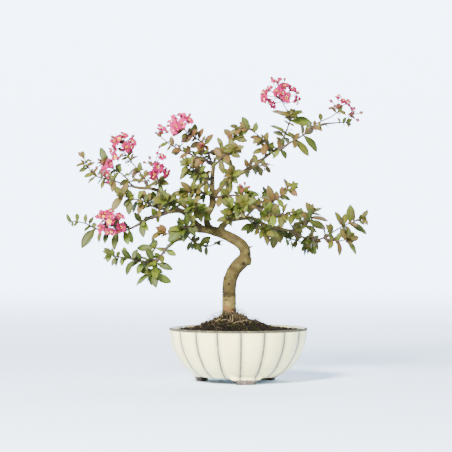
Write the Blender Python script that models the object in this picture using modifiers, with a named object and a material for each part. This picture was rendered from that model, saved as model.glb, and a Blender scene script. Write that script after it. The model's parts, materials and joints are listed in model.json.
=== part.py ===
"""A crepe myrtle bonsai with an S-curved trunk, standing in a lobed, cream-glazed pot.

The tree is a trunk with its main limbs, leafy shoots that go on from spurs of those limbs, and
flower heads at the ends of shoots. It stands in a plain hole in a mound of soil that fills the pot.
X runs to the right, Y away from the viewer and Z up, and the pot's axis is at x = y = 0 until the
whole object is moved so that the middle of its underside is the origin.
"""

import math
import random

import bmesh
import bpy
from mathutils import Matrix, Vector
from mathutils.bvhtree import BVHTree

MM = 0.001

# Pot, in millimetres. Profiles are radius and height, run down the outside and back up the inside.
POT_LOBES = 18
POT_STEPS = 72
POT_TURN = 12.0
POT_PROFILE = [
    (90.0, 69.8), (88.8, 57.0), (83.4, 39.5), (73.0, 23.0), (60.5, 12.6), (50.0, 7.5), (11.0, 7.5),
    (11.0, 12.5), (55.0, 12.5), (69.0, 26.0), (79.2, 42.0), (84.2, 57.0), (86.4, 70.5), (88.6, 70.5),
]
LOBE_DEPTH = 2.2
LOBE_FOOT_Z = 9.0
LOBE_FULL_Z = 24.0
FOOT_ANGLES = (268.0, 28.0, 148.0)
FOOT_RADIUS = 50.5
FOOT_THICKNESS = 11.0
FOOT_OUTLINE = [(11.5, 0.0), (12.0, 2.8), (15.0, 4.0), (18.5, 6.2), (21.5, 9.2), (22.5, 11.8)]

# Soil and drain mesh.
GAP = 0.3
SOIL_PROFILE = [
    (0.0, 66.0), (17.0, 66.0), (31.0, 66.0), (49.0, 66.0), (70.0, 66.0), (84.4, 65.0), (78.4, 42.0),
    (54.3, 12.9), (24.0, 12.9), (24.0, 14.5), (0.0, 14.5),
]
SOIL_EDGE = 80.0
SOIL_BRIM_Z = 65.5
MOUND = [(0.0, 89.0), (9.0, 88.5), (18.0, 84.0), (30.0, 79.0), (43.0, 75.0), (56.0, 70.0), (72.0, 66.4)]
LEFT_FALL = 0.4
CRUMB = 1.1
DRAIN_SIDE = 32.0
DRAIN_CELLS = 5
DRAIN_THICKNESS = 1.2
DRAIN_Z = 12.8

# Trunk.
TRUNK_FOOT = (-12.0, 0.0)
TRUNK_FOOT_RADIUS = 8.6
TRUNK_FOOT_Z = 46.0
COLLAR_Z = 92.0
TRUNK_HOLE_RADIUS = 9.1

# Shoots, leaves and flowers.
SPUR = 7.5
HEAD_SPUR = 2.5
LEAF_THICKNESS = 0.7
LEAF_WIDTH = 0.5
SMALL_LEAF = 17.2
LEAF_OUTLINE = [(0.36, 0.92, 0.06), (0.72, 0.86, 0.06)]
SMALL_OUTLINE = [(0.55, 1.0, 0.05)]
LEAF_REACH = 1.15
LEAF_CLEAR = 0.5
LEAF_DROOP = 0.04
LEAF_FACE = (0.0, -0.7, 0.5)
LEAF_OUTWARD = 0.35
LEAF_CHANCE = 0.38
LEAF_TRIES = 30
BEND_STEP = 0.6
LEAF_OFF_JOINT = 5.0
OWN_LEAF_TRIES = 14
FLORET_PETALS = 6
PETAL_LENGTH = 7.8
PETAL_LIFT = 1.6
NOTCH = 4.2
BUD_RADIUS = 2.4
BUD_HALF = 3.0
PEDICEL = 0.9
STALK_RADIUS = 1.1
THIN_TOLERANCE = 1.2
FLAT_ANGLE = 0.01

# Woody limbs of the trunk, from their root outwards: x, y, z and radius in millimetres.
LIMBS = {
    "trunk": [
        (-12, 0, 106, 7.6), (-12, 0, 119, 7.4), (-11, 1, 132, 7.7), (-6, 2, 144, 7.9), (0, 2, 152, 8.4),
        (7, 2, 157, 8.8), (9, 1, 164, 7.2), (9, 0, 171, 6.9), (5, -1, 178, 6.9), (-3, -2, 184, 6.6),
        (-13, -2, 189, 6.5), (-22, -1, 193, 6.2), (-32, 0, 196, 5.8), (-39, 0, 198, 5.0)],
    "knob": [
        (7, 2, 157, 5.6), (17, 1, 156, 4.9)],
    "left_limb": [
        (-33, 0, 196, 4.6), (-43, -3, 197, 4.2), (-52, -6, 202, 4.0), (-60, -9, 211, 3.8),
        (-68, -12, 219, 3.6), (-75, -14, 223, 3.3), (-86, -16, 222, 2.9), (-93, -18, 220, 2.6)],
    "cut_stub": [
        (-41, 1, 197, 4.2), (-54, 4, 198, 3.7), (-67, 7, 198, 3.5)],
    "centre_limb": [
        (-33, 0, 196, 4.4), (-41, 2, 204, 4.2), (-41, 4, 217, 3.9), (-37, 5, 223, 3.9),
        (-33, 7, 231, 4.3), (-34, 8, 242, 4.0), (-34, 10, 256, 3.0), (-34, 11, 269, 2.6),
        (-32, 12, 278, 2.4), (-33, 12, 285, 2.1)],
    "upper_right_limb": [
        (-34, 8, 238, 3.4), (-26, 10, 249, 2.8), (-17, 12, 259, 2.5), (-8, 14, 265, 2.3),
        (2, 15, 270, 2.2), (13, 16, 276, 2.1), (23, 17, 282, 2.0), (31, 18, 289, 1.9),
        (42, 18, 298, 1.8), (49, 18, 302, 1.6)],
    "right_limb": [
        (-25, 0, 195, 4.6), (-20, -3, 203, 4.1), (-15, -5, 208, 3.7), (-10, -7, 211, 3.4),
        (-3, -10, 218, 3.0), (6, -14, 222, 2.8), (15, -17, 226, 2.6), (23, -19, 227, 2.4),
        (32, -21, 226, 2.2)],
    "low_right_limb": [
        (-12, -6, 210, 3.0), (0, 0, 212, 2.7), (9, 6, 213, 2.6), (18, 12, 213, 2.5), (26, 16, 209, 2.4),
        (34, 18, 204, 2.2), (51, 17, 200, 2.0), (68, 14, 196, 1.8), (81, 10, 189, 1.6)],
    "upper_left_limb": [
        (-63, -9, 214, 3.0), (-68, 0, 227, 2.8), (-80, 8, 236, 2.5), (-92, 14, 243, 2.3),
        (-102, 18, 248, 2.1), (-116, 20, 252, 2.0), (-128, 23, 252, 1.8), (-138, 26, 254, 1.6)],
    "low_left_limb": [
        (-60, 5, 198, 2.9), (-67, -3, 192, 2.6), (-69, -12, 186, 2.3), (-80, -21, 185, 2.1),
        (-88, -27, 179, 1.9)],
}

# Leafy shoots: the twig's radius at its root and tip, its routes from the limb outwards, and the
# place of each leaf's tip with the leaf's length, all in millimetres.
SHOOTS = {
    "far_left": {
        "radii": (1.5, 0.8),
        "twigs": [
            [
                (-93, -18, 220), (-101, -20, 217), (-114, -22, 213), (-122, -24, 209), (-129, -26, 204),
                (-137, -27, 200), (-146, -29, 196), (-155, -31, 196), (-165, -33, 196),
                (-178, -34, 197), (-188, -34, 201), (-196, -34, 206), (-206, -33, 208), (-216, -31, 208)],
        ],
        "leaves": [
            (-202, -44, 173, 27), (-181, -28, 178, 15), (-172, -44, 178, 16), (-160, -36, 172, 22),
            (-141, -40, 178, 18), (-136, -22, 175, 17), (-116, -38, 197, 18), (-115, -30, 186, 18),
            (-122, -12, 208, 16), (-220, -36, 218, 11), (-223, -24, 209, 11), (-208, -26, 219, 12),
            (-195, -42, 220, 12), (-185, -26, 219, 12), (-197, -42, 196, 12)],
    },
    "left_upper_twig": {
        "radii": (1.4, 0.8),
        "twigs": [
            [
                (-91, -17, 221), (-98, -25, 225), (-105, -30, 226), (-111, -34, 228), (-118, -39, 233),
                (-128, -44, 236), (-138, -49, 237), (-148, -54, 241)],
        ],
        "leaves": [
            (-162, -62, 220, 21), (-150, -40, 228, 14), (-141, -56, 249, 15), (-127, -38, 248, 14),
            (-128, -50, 216, 17), (-103, -46, 237, 17), (-161, -60, 243, 13), (-168, -46, 251, 18),
            (-144, -58, 210, 18), (-138, -36, 215, 17)],
    },
    "upper_left_a": {
        "radii": (1.3, 0.7),
        "twigs": [
            [
                (-135, 25, 253), (-142, 30, 258), (-146, 34, 264), (-152, 38, 270), (-160, 43, 276),
                (-168, 47, 279), (-174, 50, 286)],
        ],
        "leaves": [
            (-190, 58, 269, 20), (-183, 54, 307, 20), (-123, 40, 262, 22), (-133, 28, 283, 18),
            (-169, 60, 296, 14), (-185, 40, 283, 14), (-165, 50, 261, 14), (-139, 52, 274, 14)],
    },
    "upper_left_b": {
        "radii": (1.2, 0.6),
        "twigs": [
            [
                (-135, 25, 253), (-144, 20, 255), (-155, 14, 259), (-165, 8, 262), (-175, 3, 264),
                (-185, -1, 267), (-191, -4, 274), (-195, -6, 278), (-197, -7, 284), (-200, -8, 291)],
        ],
        "leaves": [
            (-210, -12, 280, 13), (-186, -2, 286, 11), (-179, 6, 251, 13), (-164, 2, 247, 16),
            (-156, 22, 244, 15), (-200, -8, 266, 14), (-208, -2, 273, 12), (-195, -8, 258, 13),
            (-173, -6, 275, 13), (-159, 2, 271, 13)],
    },
    "upper_left_c": {
        "radii": (1.3, 0.7),
        "twigs": [
            [
                (-120, 21, 252), (-122, 32, 262), (-125, 40, 267), (-131, 47, 275), (-138, 54, 283),
                (-146, 60, 293), (-152, 64, 301)],
        ],
        "leaves": [
            (-133, 66, 297, 14), (-147, 70, 283, 15), (-162, 72, 291, 15), (-114, 40, 276, 15),
            (-117, 50, 261, 15), (-142, 58, 266, 15)],
    },
    "left_flower_stalk": {
        "radii": (1.2, 0.8),
        "twigs": [
            [
                (-105, 18, 248), (-103, 10, 257), (-105, 4, 265), (-108, 0, 274), (-112, -3, 280)],
        ],
        "leaves": [
            (-90, 0, 257, 15), (-115, 14, 268, 15), (-89, 10, 270, 14), (-120, 2, 254, 16)],
    },
    "top_fan_a": {
        "radii": (1.4, 0.8),
        "twigs": [
            [
                (-33, 12, 282), (-37, 8, 290), (-39, 4, 299), (-44, -1, 308), (-50, -5, 313),
                (-56, -8, 317), (-63, -11, 321), (-70, -14, 327)],
        ],
        "leaves": [
            (-56, -8, 335, 17), (-46, -2, 330, 16), (-30, 4, 326, 16), (-44, -12, 341, 9),
            (-88, -18, 317, 16), (-78, -4, 308, 15), (-29, 14, 304, 14), (-63, 4, 305, 16)],
    },
    "top_fan_b": {
        "radii": (1.4, 0.8),
        "twigs": [
            [
                (-33, 12, 281), (-40, 18, 288), (-47, 24, 292), (-57, 30, 294), (-65, 35, 298),
                (-73, 39, 301), (-82, 43, 306), (-91, 46, 311), (-102, 50, 320)],
        ],
        "leaves": [
            (-86, 52, 298, 17), (-78, 36, 292, 14), (-45, 36, 311, 16), (-66, 22, 272, 16),
            (-56, 12, 282, 15), (-49, 30, 276, 15), (-96, 54, 301, 15), (-103, 40, 307, 13)],
    },
    "top_fan_c": {
        "radii": (1.4, 0.7),
        "twigs": [
            [
                (-33, 12, 283), (-29, 20, 291), (-25, 28, 300), (-19, 36, 306), (-12, 42, 311),
                (-7, 47, 318), (1, 51, 326)],
        ],
        "leaves": [
            (-20, 56, 333, 17), (-12, 44, 329, 15), (-28, 38, 320, 14), (-23, 40, 292, 14),
            (12, 44, 315, 18), (9, 58, 333, 15), (3, 46, 340, 13), (-37, 30, 302, 14)],
    },
    "top_fan_d": {
        "radii": (1.3, 0.7),
        "twigs": [
            [
                (-33, 12, 279), (-26, 4, 286), (-20, -4, 293), (-12, -12, 297), (-6, -19, 300)],
        ],
        "leaves": [
            (-8, -8, 280, 18), (-17, -2, 265, 16), (2, -24, 291, 18), (7, -26, 305, 16),
            (-7, -22, 315, 15), (-22, -14, 307, 15)],
    },
    "inner_upright": {
        "radii": (1.5, 0.9),
        "twigs": [
            [
                (-34, 10, 261), (-42, 2, 266), (-50, -6, 270), (-57, -13, 275), (-65, -19, 281)],
        ],
        "leaves": [
            (-81, -18, 258, 19), (-60, -10, 253, 16), (-51, 2, 257, 14), (-73, -28, 269, 16),
            (-68, -24, 294, 15), (-54, -12, 288, 16)],
    },
    "crimson_bud_twig": {
        "radii": (1.1, 0.7),
        "twigs": [
            [
                (-33, 12, 281), (-40, 2, 284), (-45, -8, 291), (-48, -14, 298)],
        ],
        "leaves": [
            (-55, -20, 298, 11), (-39, -18, 300, 11)],
    },
    "crossing_twig": {
        "radii": (1.2, 0.6),
        "twigs": [
            [
                (35, 18, 292), (37, 8, 302), (36, 0, 310), (31, -8, 315), (24, -15, 321),
                (16, -21, 326), (7, -26, 329), (-2, -30, 327)],
        ],
        "leaves": [
            (5, -26, 343, 18), (-11, -34, 331, 15), (12, -34, 318, 11), (15, -10, 318, 16),
            (31, -14, 292, 18), (14, -2, 296, 18), (23, -22, 336, 14), (38, -8, 324, 15)],
    },
    "top_right": {
        "radii": (1.5, 0.8),
        "twigs": [
            [
                (48, 18, 301), (54, 24, 306), (57, 27, 311), (59, 27, 316), (62, 27, 324),
                (65, 26, 332), (68, 24, 340), (69, 22, 347)],
        ],
        "leaves": [
            (41, 30, 356, 24), (39, 18, 336, 21), (98, 30, 338, 27), (85, 16, 355, 15),
            (56, 12, 355, 13), (77, 32, 320, 15), (46, 36, 328, 19), (82, 34, 347, 14)],
    },
    "far_upper_right": {
        "radii": (1.5, 0.7),
        "twigs": [
            [
                (49, 18, 301), (54, 7, 302), (59, 1, 305), (66, 3, 310), (75, -3, 315), (84, -9, 320),
                (91, -14, 326), (98, -18, 333), (108, -22, 338), (118, -26, 342), (128, -30, 349)],
            [
                (91, -14, 326), (102, -10, 331), (112, -7, 335), (124, -4, 336), (133, -2, 337),
                (140, 0, 337)],
        ],
        "leaves": [
            (62, 0, 290, 17), (93, -2, 293, 24), (102, -14, 299, 25), (88, -26, 336, 14),
            (108, -22, 325, 13), (106, -12, 349, 13), (140, -28, 345, 10), (121, -36, 354, 10),
            (119, 0, 330, 12), (138, 6, 329, 11), (148, -4, 343, 10), (77, -16, 299, 16),
            (57, -6, 317, 15)],
    },
    "front_right_twig": {
        "radii": (1.7, 1.0),
        "twigs": [
            [
                (-33, 8, 240), (-25, -2, 240), (-16, -12, 241), (-7, -22, 242), (2, -31, 241),
                (10, -39, 243)],
        ],
        "leaves": [
            (-10, -20, 262, 21), (-13, -22, 227, 20), (26, -46, 242, 19), (8, -38, 225, 18),
            (15, -46, 257, 12), (21, -54, 232, 15), (-2, -40, 254, 15)],
    },
    "right_upper_twig": {
        "radii": (1.6, 0.8),
        "twigs": [
            [
                (31, -21, 226), (39, -27, 232), (47, -30, 236), (55, -34, 241), (62, -38, 247),
                (68, -42, 251)],
        ],
        "leaves": [
            (37, -30, 258, 19), (58, -38, 264, 17), (76, -50, 257, 14), (84, -46, 242, 12),
            (67, -30, 236, 14), (47, -22, 251, 16), (27, -16, 241, 17), (40, -36, 218, 17)],
    },
    "right_front_twig": {
        "radii": (1.5, 0.8),
        "twigs": [
            [
                (24, -19, 227), (31, -32, 222), (40, -44, 218), (50, -55, 216), (60, -65, 217),
                (70, -73, 216)],
        ],
        "leaves": [
            (41, -52, 232, 18), (61, -70, 231, 17), (55, -64, 200, 18), (80, -80, 209, 17),
            (30, -44, 202, 18), (80, -80, 225, 13), (65, -78, 204, 15), (44, -56, 202, 17)],
    },
    "right_low_twig": {
        "radii": (1.5, 0.8),
        "twigs": [
            [
                (39, 18, 203), (50, 26, 196), (60, 34, 189), (71, 41, 185), (82, 47, 182), (94, 52, 177)],
        ],
        "leaves": [
            (56, 22, 180, 20), (66, 46, 176, 17), (89, 56, 163, 18), (99, 46, 165, 14),
            (110, 58, 161, 20), (80, 54, 197, 16), (107, 62, 184, 16), (39, 26, 175, 22),
            (49, 40, 185, 16)],
    },
    "right_rising_twig": {
        "radii": (1.3, 0.7),
        "twigs": [
            [
                (64, 15, 197), (73, 28, 197), (82, 39, 198), (89, 48, 204), (94, 55, 210), (96, 60, 218)],
        ],
        "leaves": [
            (96, 64, 233, 15), (114, 60, 228, 18), (82, 56, 221, 15), (123, 62, 210, 23),
            (119, 52, 198, 22), (77, 44, 209, 16), (106, 44, 194, 16)],
    },
    "far_right": {
        "radii": (1.4, 0.7),
        "twigs": [
            [
                (78, 11, 191), (88, 5, 186), (98, -2, 184), (108, -9, 186), (117, -15, 191),
                (127, -21, 198), (138, -27, 204), (148, -32, 208), (157, -36, 211)],
            [
                (110, -10, 187), (120, -18, 184), (129, -26, 183), (138, -33, 185)],
        ],
        "leaves": [
            (124, -30, 222, 19), (138, -16, 219, 17), (145, -38, 224, 14), (160, -42, 206, 11),
            (166, -36, 223, 13), (165, -32, 193, 27), (157, -24, 188, 17), (145, -42, 179, 15),
            (148, -38, 169, 20), (131, -22, 164, 17), (104, -2, 171, 15), (96, -6, 200, 17),
            (109, -18, 202, 16), (91, -10, 175, 14)],
    },
    "right_inner_twig": {
        "radii": (1.4, 0.8),
        "twigs": [
            [
                (15, 11, 213), (18, 2, 208), (22, -8, 202), (27, -17, 199), (33, -25, 196)],
        ],
        "leaves": [
            (2, -8, 196, 17), (21, -24, 191, 13), (38, -30, 177, 20), (56, -34, 184, 21),
            (43, -30, 202, 15), (31, -12, 210, 14)],
    },
    "centre_left_twig": {
        "radii": (1.5, 0.8),
        "twigs": [
            [
                (-34, 8, 242), (-42, -3, 244), (-50, -13, 246), (-59, -22, 247), (-67, -30, 245)],
        ],
        "leaves": [
            (-41, -10, 257, 18), (-65, -16, 237, 14), (-74, -34, 259, 19), (-76, -40, 231, 18),
            (-53, -24, 232, 17), (-84, -38, 246, 17)],
    },
    "centre_drop_twig": {
        "radii": (1.3, 0.8),
        "twigs": [
            [
                (-16, -5, 207), (-13, -17, 213), (-12, -28, 218), (-10, -38, 224)],
        ],
        "leaves": [
            (-24, -30, 222, 14), (-1, -44, 228, 15), (-21, -40, 237, 15), (-3, -34, 213, 14),
            (-28, -20, 209, 15)],
    },
    "pale_arch_twig": {
        "radii": (1.6, 1.0),
        "twigs": [
            [
                (-52, -6, 202), (-59, -18, 203), (-65, -29, 202), (-71, -38, 199)],
        ],
        "leaves": [
            (-90, -46, 183, 27), (-70, -40, 182, 18), (-55, -28, 219, 17), (-67, -38, 219, 17),
            (-86, -50, 205, 17)],
    },
    "inner_left_twig": {
        "radii": (1.3, 0.8),
        "twigs": [
            [
                (-81, -15, 223), (-86, -8, 231), (-91, 0, 238), (-97, -14, 242)],
        ],
        "leaves": [],
    },
    "low_left": {
        "radii": (1.5, 0.8),
        "twigs": [
            [
                (-85, -26, 181), (-93, -30, 173), (-99, -34, 165), (-104, -37, 158), (-106, -39, 150),
                (-108, -41, 142)],
            [
                (-103, -36, 159), (-113, -42, 157), (-122, -48, 157), (-131, -52, 159),
                (-142, -54, 162), (-152, -55, 163), (-160, -56, 165)],
            [
                (-94, -31, 172), (-101, -22, 174), (-110, -14, 174)],
        ],
        "leaves": [
            (-84, -44, 147, 20), (-83, -36, 128, 22), (-126, -46, 125, 26), (-118, -44, 174, 19),
            (-125, -34, 147, 18), (-148, -62, 172, 18), (-171, -64, 175, 14), (-177, -50, 162, 13),
            (-146, -48, 176, 14), (-161, -60, 152, 12), (-158, -48, 148, 13), (-143, -56, 140, 20),
            (-129, -50, 141, 17), (-135, -40, 167, 17), (-135, -6, 174, 20), (-117, -10, 184, 13)],
    },
    "low_left_bud_twig": {
        "radii": (1.1, 0.7),
        "twigs": [
            [
                (-75, -17, 185), (-83, -24, 190), (-90, -31, 192), (-98, -36, 195)],
        ],
        "leaves": [
            (-112, -40, 186, 19), (-98, -38, 204, 13), (-88, -26, 202, 13)],
    },
    "low_centre": {
        "radii": (1.2, 0.7),
        "twigs": [
            [
                (-67, -5, 191), (-62, 4, 185), (-56, 8, 180), (-47, 14, 178), (-38, 19, 176),
                (-29, 23, 179)],
        ],
        "leaves": [
            (-51, 2, 171, 14), (-67, 6, 170, 13), (-36, 12, 188, 17), (-19, 26, 184, 13),
            (-42, 20, 163, 12)],
    },
    "back_left": {
        "radii": (1.6, 0.8),
        "twigs": [
            [
                (-80, 8, 236), (-87, 28, 239), (-95, 47, 238), (-104, 64, 237), (-114, 80, 239)],
        ],
        "leaves": [
            (-131, 92, 243, 17), (-118, 88, 254, 17), (-106, 84, 223, 16), (-119, 96, 225, 16),
            (-96, 70, 253, 17), (-90, 56, 226, 16)],
    },
    "back_centre": {
        "radii": (1.6, 0.8),
        "twigs": [
            [
                (-34, 9, 249), (-38, 30, 255), (-44, 50, 261), (-49, 68, 266), (-55, 86, 272)],
        ],
        "leaves": [
            (-70, 96, 275, 17), (-54, 98, 289, 17), (-40, 90, 275, 16), (-63, 84, 260, 16),
            (-40, 66, 248, 17), (-56, 54, 250, 16)],
    },
    "back_right": {
        "radii": (1.6, 0.8),
        "twigs": [
            [
                (9, 6, 213), (16, 27, 221), (24, 47, 228), (32, 66, 234), (39, 84, 240)],
        ],
        "leaves": [
            (55, 92, 246, 17), (41, 96, 256, 17), (27, 80, 248, 16), (46, 78, 227, 16),
            (16, 60, 237, 16), (32, 54, 218, 16)],
    },
    "back_upper_right": {
        "radii": (1.4, 0.8),
        "twigs": [
            [
                (2, 15, 270), (8, 34, 276), (16, 51, 281), (25, 66, 283), (35, 80, 283)],
        ],
        "leaves": [
            (50, 88, 284, 17), (38, 90, 298, 16), (21, 74, 299, 16), (32, 76, 269, 16),
            (11, 58, 266, 16), (10, 48, 292, 15)],
    },
    "front_centre": {
        "radii": (1.5, 0.8),
        "twigs": [
            [
                (-41, 4, 217), (-44, -17, 219), (-49, -37, 222), (-54, -56, 224), (-59, -74, 228)],
        ],
        "leaves": [
            (-73, -84, 233, 17), (-61, -80, 215, 17), (-49, -76, 240, 17), (-41, -60, 230, 16),
            (-35, -30, 210, 15), (-63, -50, 229, 16)],
    },
    "front_right": {
        "radii": (1.5, 0.8),
        "twigs": [
            [
                (-3, -10, 218), (-1, -32, 224), (3, -52, 228), (7, -70, 231)],
        ],
        "leaves": [
            (21, -78, 236, 17), (8, -82, 245, 16), (-3, -62, 239, 16), (14, -64, 220, 16),
            (-13, -46, 223, 15), (10, -46, 213, 15)],
    },
    "front_upper": {
        "radii": (1.4, 0.8),
        "twigs": [
            [
                (-17, 12, 259), (-16, -8, 262), (-12, -26, 265), (-8, -42, 269)],
        ],
        "leaves": [
            (6, -52, 272, 17), (-7, -54, 284, 16), (-22, -40, 275, 15), (-1, -40, 257, 16),
            (-25, -18, 253, 15)],
    },
    "front_left": {
        "radii": (1.4, 0.8),
        "twigs": [
            [
                (-75, -14, 223), (-80, -32, 228), (-86, -50, 232), (-93, -67, 234)],
        ],
        "leaves": [
            (-108, -76, 236, 17), (-95, -78, 248, 16), (-89, -72, 220, 16), (-80, -56, 243, 16),
            (-101, -56, 225, 16), (-70, -40, 234, 15)],
    },
}

# Flower heads: the shoot that carries each, its stalk's route, and the middles of its florets and buds.
HEADS = {
    "head_left": {
        "shoot": "far_left",
        "stalk": [
            (-156, -31, 196), (-159, -39, 201), (-163, -46, 206)],
        "florets": [
            (-163, -60, 209), (-175, -53, 215), (-164, -52, 220), (-152, -51, 214), (-151, -50, 201),
            (-162, -55, 196), (-175, -53, 200)],
        "buds": [
            (-181, -46, 214), (-173, -44, 220)],
    },
    "head_upper_left": {
        "shoot": "upper_left_c",
        "stalk": [
            (-152, 64, 301), (-153, 62, 308), (-154, 60, 312)],
        "florets": [
            (-162, 54, 315), (-153, 58, 322), (-142, 56, 314), (-165, 62, 305), (-148, 48, 307)],
        "buds": [
            (-167, 62, 321), (-140, 62, 322)],
    },
    "head_left_spray": {
        "shoot": "upper_left_a",
        "stalk": [
            (-174, 50, 286), (-176, 44, 288), (-177, 38, 286)],
        "florets": [
            (-164, 38, 293), (-175, 34, 276), (-168, 34, 264)],
        "buds": [
            (-187, 42, 280), (-184, 44, 290)],
    },
    "head_inner_left": {
        "shoot": "left_flower_stalk",
        "stalk": [
            (-112, -3, 280), (-111, -7, 283), (-108, -10, 284)],
        "florets": [
            (-100, -14, 292), (-104, -18, 279), (-110, -14, 268), (-94, -10, 272)],
        "buds": [
            (-122, -6, 285), (-115, -4, 291), (-102, -8, 305)],
    },
    "head_top_left": {
        "shoot": "top_fan_a",
        "stalk": [
            (-70, -14, 327), (-73, -16, 330), (-74, -17, 333)],
        "florets": [
            (-84, -18, 338), (-82, -24, 327), (-74, -16, 344), (-65, -20, 338)],
        "buds": [
            (-91, -14, 332)],
    },
    "head_back_left": {
        "shoot": "top_fan_b",
        "stalk": [
            (-102, 50, 320), (-102, 50, 324)],
        "florets": [
            (-102, 50, 331)],
        "buds": [
            (-109, 54, 326), (-94, 48, 327)],
    },
    "head_top": {
        "shoot": "top_right",
        "stalk": [
            (69, 22, 347), (64, 21, 354), (59, 20, 362), (55, 19, 370)],
        "florets": [
            (51, 18, 391), (60, 14, 384), (69, 22, 381), (40, 20, 381), (36, 14, 368), (51, 8, 377),
            (76, 16, 367), (62, 6, 369)],
        "buds": [
            (44, 22, 396), (31, 18, 375), (78, 20, 377)],
    },
    "head_right": {
        "shoot": "far_upper_right",
        "stalk": [
            (128, -30, 349), (128, -31, 355)],
        "florets": [
            (128, -31, 367), (139, -34, 360)],
        "buds": [
            (117, -38, 353), (119, -28, 363)],
    },
    "head_far_right": {
        "shoot": "far_upper_right",
        "stalk": [
            (140, 0, 337), (144, 1, 344), (147, 2, 348)],
        "florets": [
            (148, 2, 355)],
        "buds": [
            (160, 4, 350)],
    },
    "bud_cluster": {
        "shoot": "front_right_twig",
        "stalk": [
            (10, -39, 243), (8, -40, 247)],
        "florets": [],
        "buds": [
            (2, -42, 254), (8, -40, 257), (13, -44, 252)],
    },
    "crimson_bud": {
        "shoot": "crimson_bud_twig",
        "stalk": [
            (-48, -14, 298), (-48, -15, 304)],
        "florets": [],
        "buds": [
            (-48, -16, 308)],
    },
}

COLOURS = {
    "glaze": ((0.86, 0.83, 0.74), 0.25),
    "soil": ((0.035, 0.022, 0.014), 0.95),
    "drain": ((0.05, 0.05, 0.05), 0.5),
    "bark": ((0.35, 0.28, 0.15), 0.8),
    "leaf": ((0.17, 0.27, 0.03), 0.45),
    "petal": ((0.75, 0.07, 0.23), 0.55),
    "bud": ((0.42, 0.08, 0.05), 0.5),
}


def clear_scene():
    for thing in list(bpy.data.objects):
        bpy.data.objects.remove(thing, do_unlink=True)


def collection(name):
    group = bpy.data.collections.new(name)
    bpy.context.scene.collection.children.link(group)
    return group


def finish_material(name):
    """A Principled material with the part's colour and roughness."""
    found = bpy.data.materials.get(name)
    if found:
        return found
    colour, roughness = COLOURS[name]
    made = bpy.data.materials.new(name)
    made.use_nodes = True
    shader = made.node_tree.nodes["Principled BSDF"]
    shader.inputs["Base Color"].default_value = (*colour, 1.0)
    shader.inputs["Roughness"].default_value = roughness
    shader.inputs["Metallic"].default_value = 0.0
    return made


def new_object(name, mesh, group):
    thing = bpy.data.objects.new(name, mesh)
    group.objects.link(thing)
    return thing


def evaluated_mesh(thing):
    bpy.context.view_layer.update()
    graph = bpy.context.evaluated_depsgraph_get()
    return bpy.data.meshes.new_from_object(thing.evaluated_get(graph))


def clean_mesh(mesh, distance=0.001 * MM):
    work = bmesh.new()
    work.from_mesh(mesh)
    bmesh.ops.remove_doubles(work, verts=work.verts, dist=distance)
    work.to_mesh(mesh)
    work.free()
    return mesh


def turned(name, profile, steps, group):
    """A ring or disc turned about Z from a profile of radius and height."""
    work = bmesh.new()
    corners = [work.verts.new((r * MM, 0.0, z * MM)) for r, z in profile]
    pairs = list(zip(corners, corners[1:]))
    if profile[0][0] > 0:
        pairs.append((corners[-1], corners[0]))
    for first, second in pairs:
        work.edges.new((first, second))
    mesh = bpy.data.meshes.new(name)
    work.to_mesh(mesh)
    work.free()
    thing = new_object(name, mesh, group)
    screw = thing.modifiers.new("turn", "SCREW")
    screw.steps = steps
    screw.render_steps = steps
    screw.use_merge_vertices = True
    screw.merge_threshold = 0.000005
    solid = evaluated_mesh(thing)
    thing.modifiers.clear()
    thing.data = clean_mesh(solid)
    return thing


def tube(name, points, radii, sides_level, group):
    """A tapered tube through points in metres, with closed flat ends."""
    curve = bpy.data.curves.new(name, "CURVE")
    curve.dimensions = "3D"
    curve.fill_mode = "FULL"
    curve.bevel_depth = MM
    curve.bevel_resolution = sides_level
    curve.use_fill_caps = True
    spline = curve.splines.new("POLY")
    spline.points.add(len(points) - 1)
    for corner, place, radius in zip(spline.points, points, radii):
        corner.co = (*place, 1.0)
        corner.radius = radius
    guide = new_object(name, curve, group)
    mesh = clean_mesh(evaluated_mesh(guide))
    bpy.data.objects.remove(guide, do_unlink=True)
    return new_object(name, mesh, group)


def join_repeats(host, repeats, solver="MANIFOLD"):
    """Fuse every object of a collection into the host, then remove the collection's objects."""
    if len(repeats.objects):
        union = host.modifiers.new("fuse", "BOOLEAN")
        union.operation = "UNION"
        union.operand_type = "COLLECTION"
        union.collection = repeats
        union.solver = solver
        fused = evaluated_mesh(host)
        host.modifiers.clear()
        host.data = fused
        for thing in list(repeats.objects):
            bpy.data.objects.remove(thing, do_unlink=True)
    keep_main_body(host.data)


def islands(work):
    """The separate bodies of a bmesh, as lists of faces."""
    todo = set(work.faces)
    found = []
    while todo:
        stack = [todo.pop()]
        body = list(stack)
        while stack:
            face = stack.pop()
            for edge in face.edges:
                for other in edge.link_faces:
                    if other in todo:
                        todo.remove(other)
                        stack.append(other)
                        body.append(other)
        found.append(body)
    return found


def keep_main_body(mesh):
    """Fill the hollows that fusing seals and drop loose scraps: only the largest body stays."""
    work = bmesh.new()
    work.from_mesh(mesh)
    bodies = sorted(islands(work), key=len, reverse=True)
    scraps = [face for body in bodies[1:] for face in body]
    bmesh.ops.delete(work, geom=scraps, context="FACES")
    bmesh.ops.dissolve_limit(work, angle_limit=FLAT_ANGLE, verts=work.verts, edges=work.edges)
    bmesh.ops.triangulate(work, faces=work.faces)
    work.to_mesh(mesh)
    work.free()


def metres(point):
    return Vector(point[:3]) * MM


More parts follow.
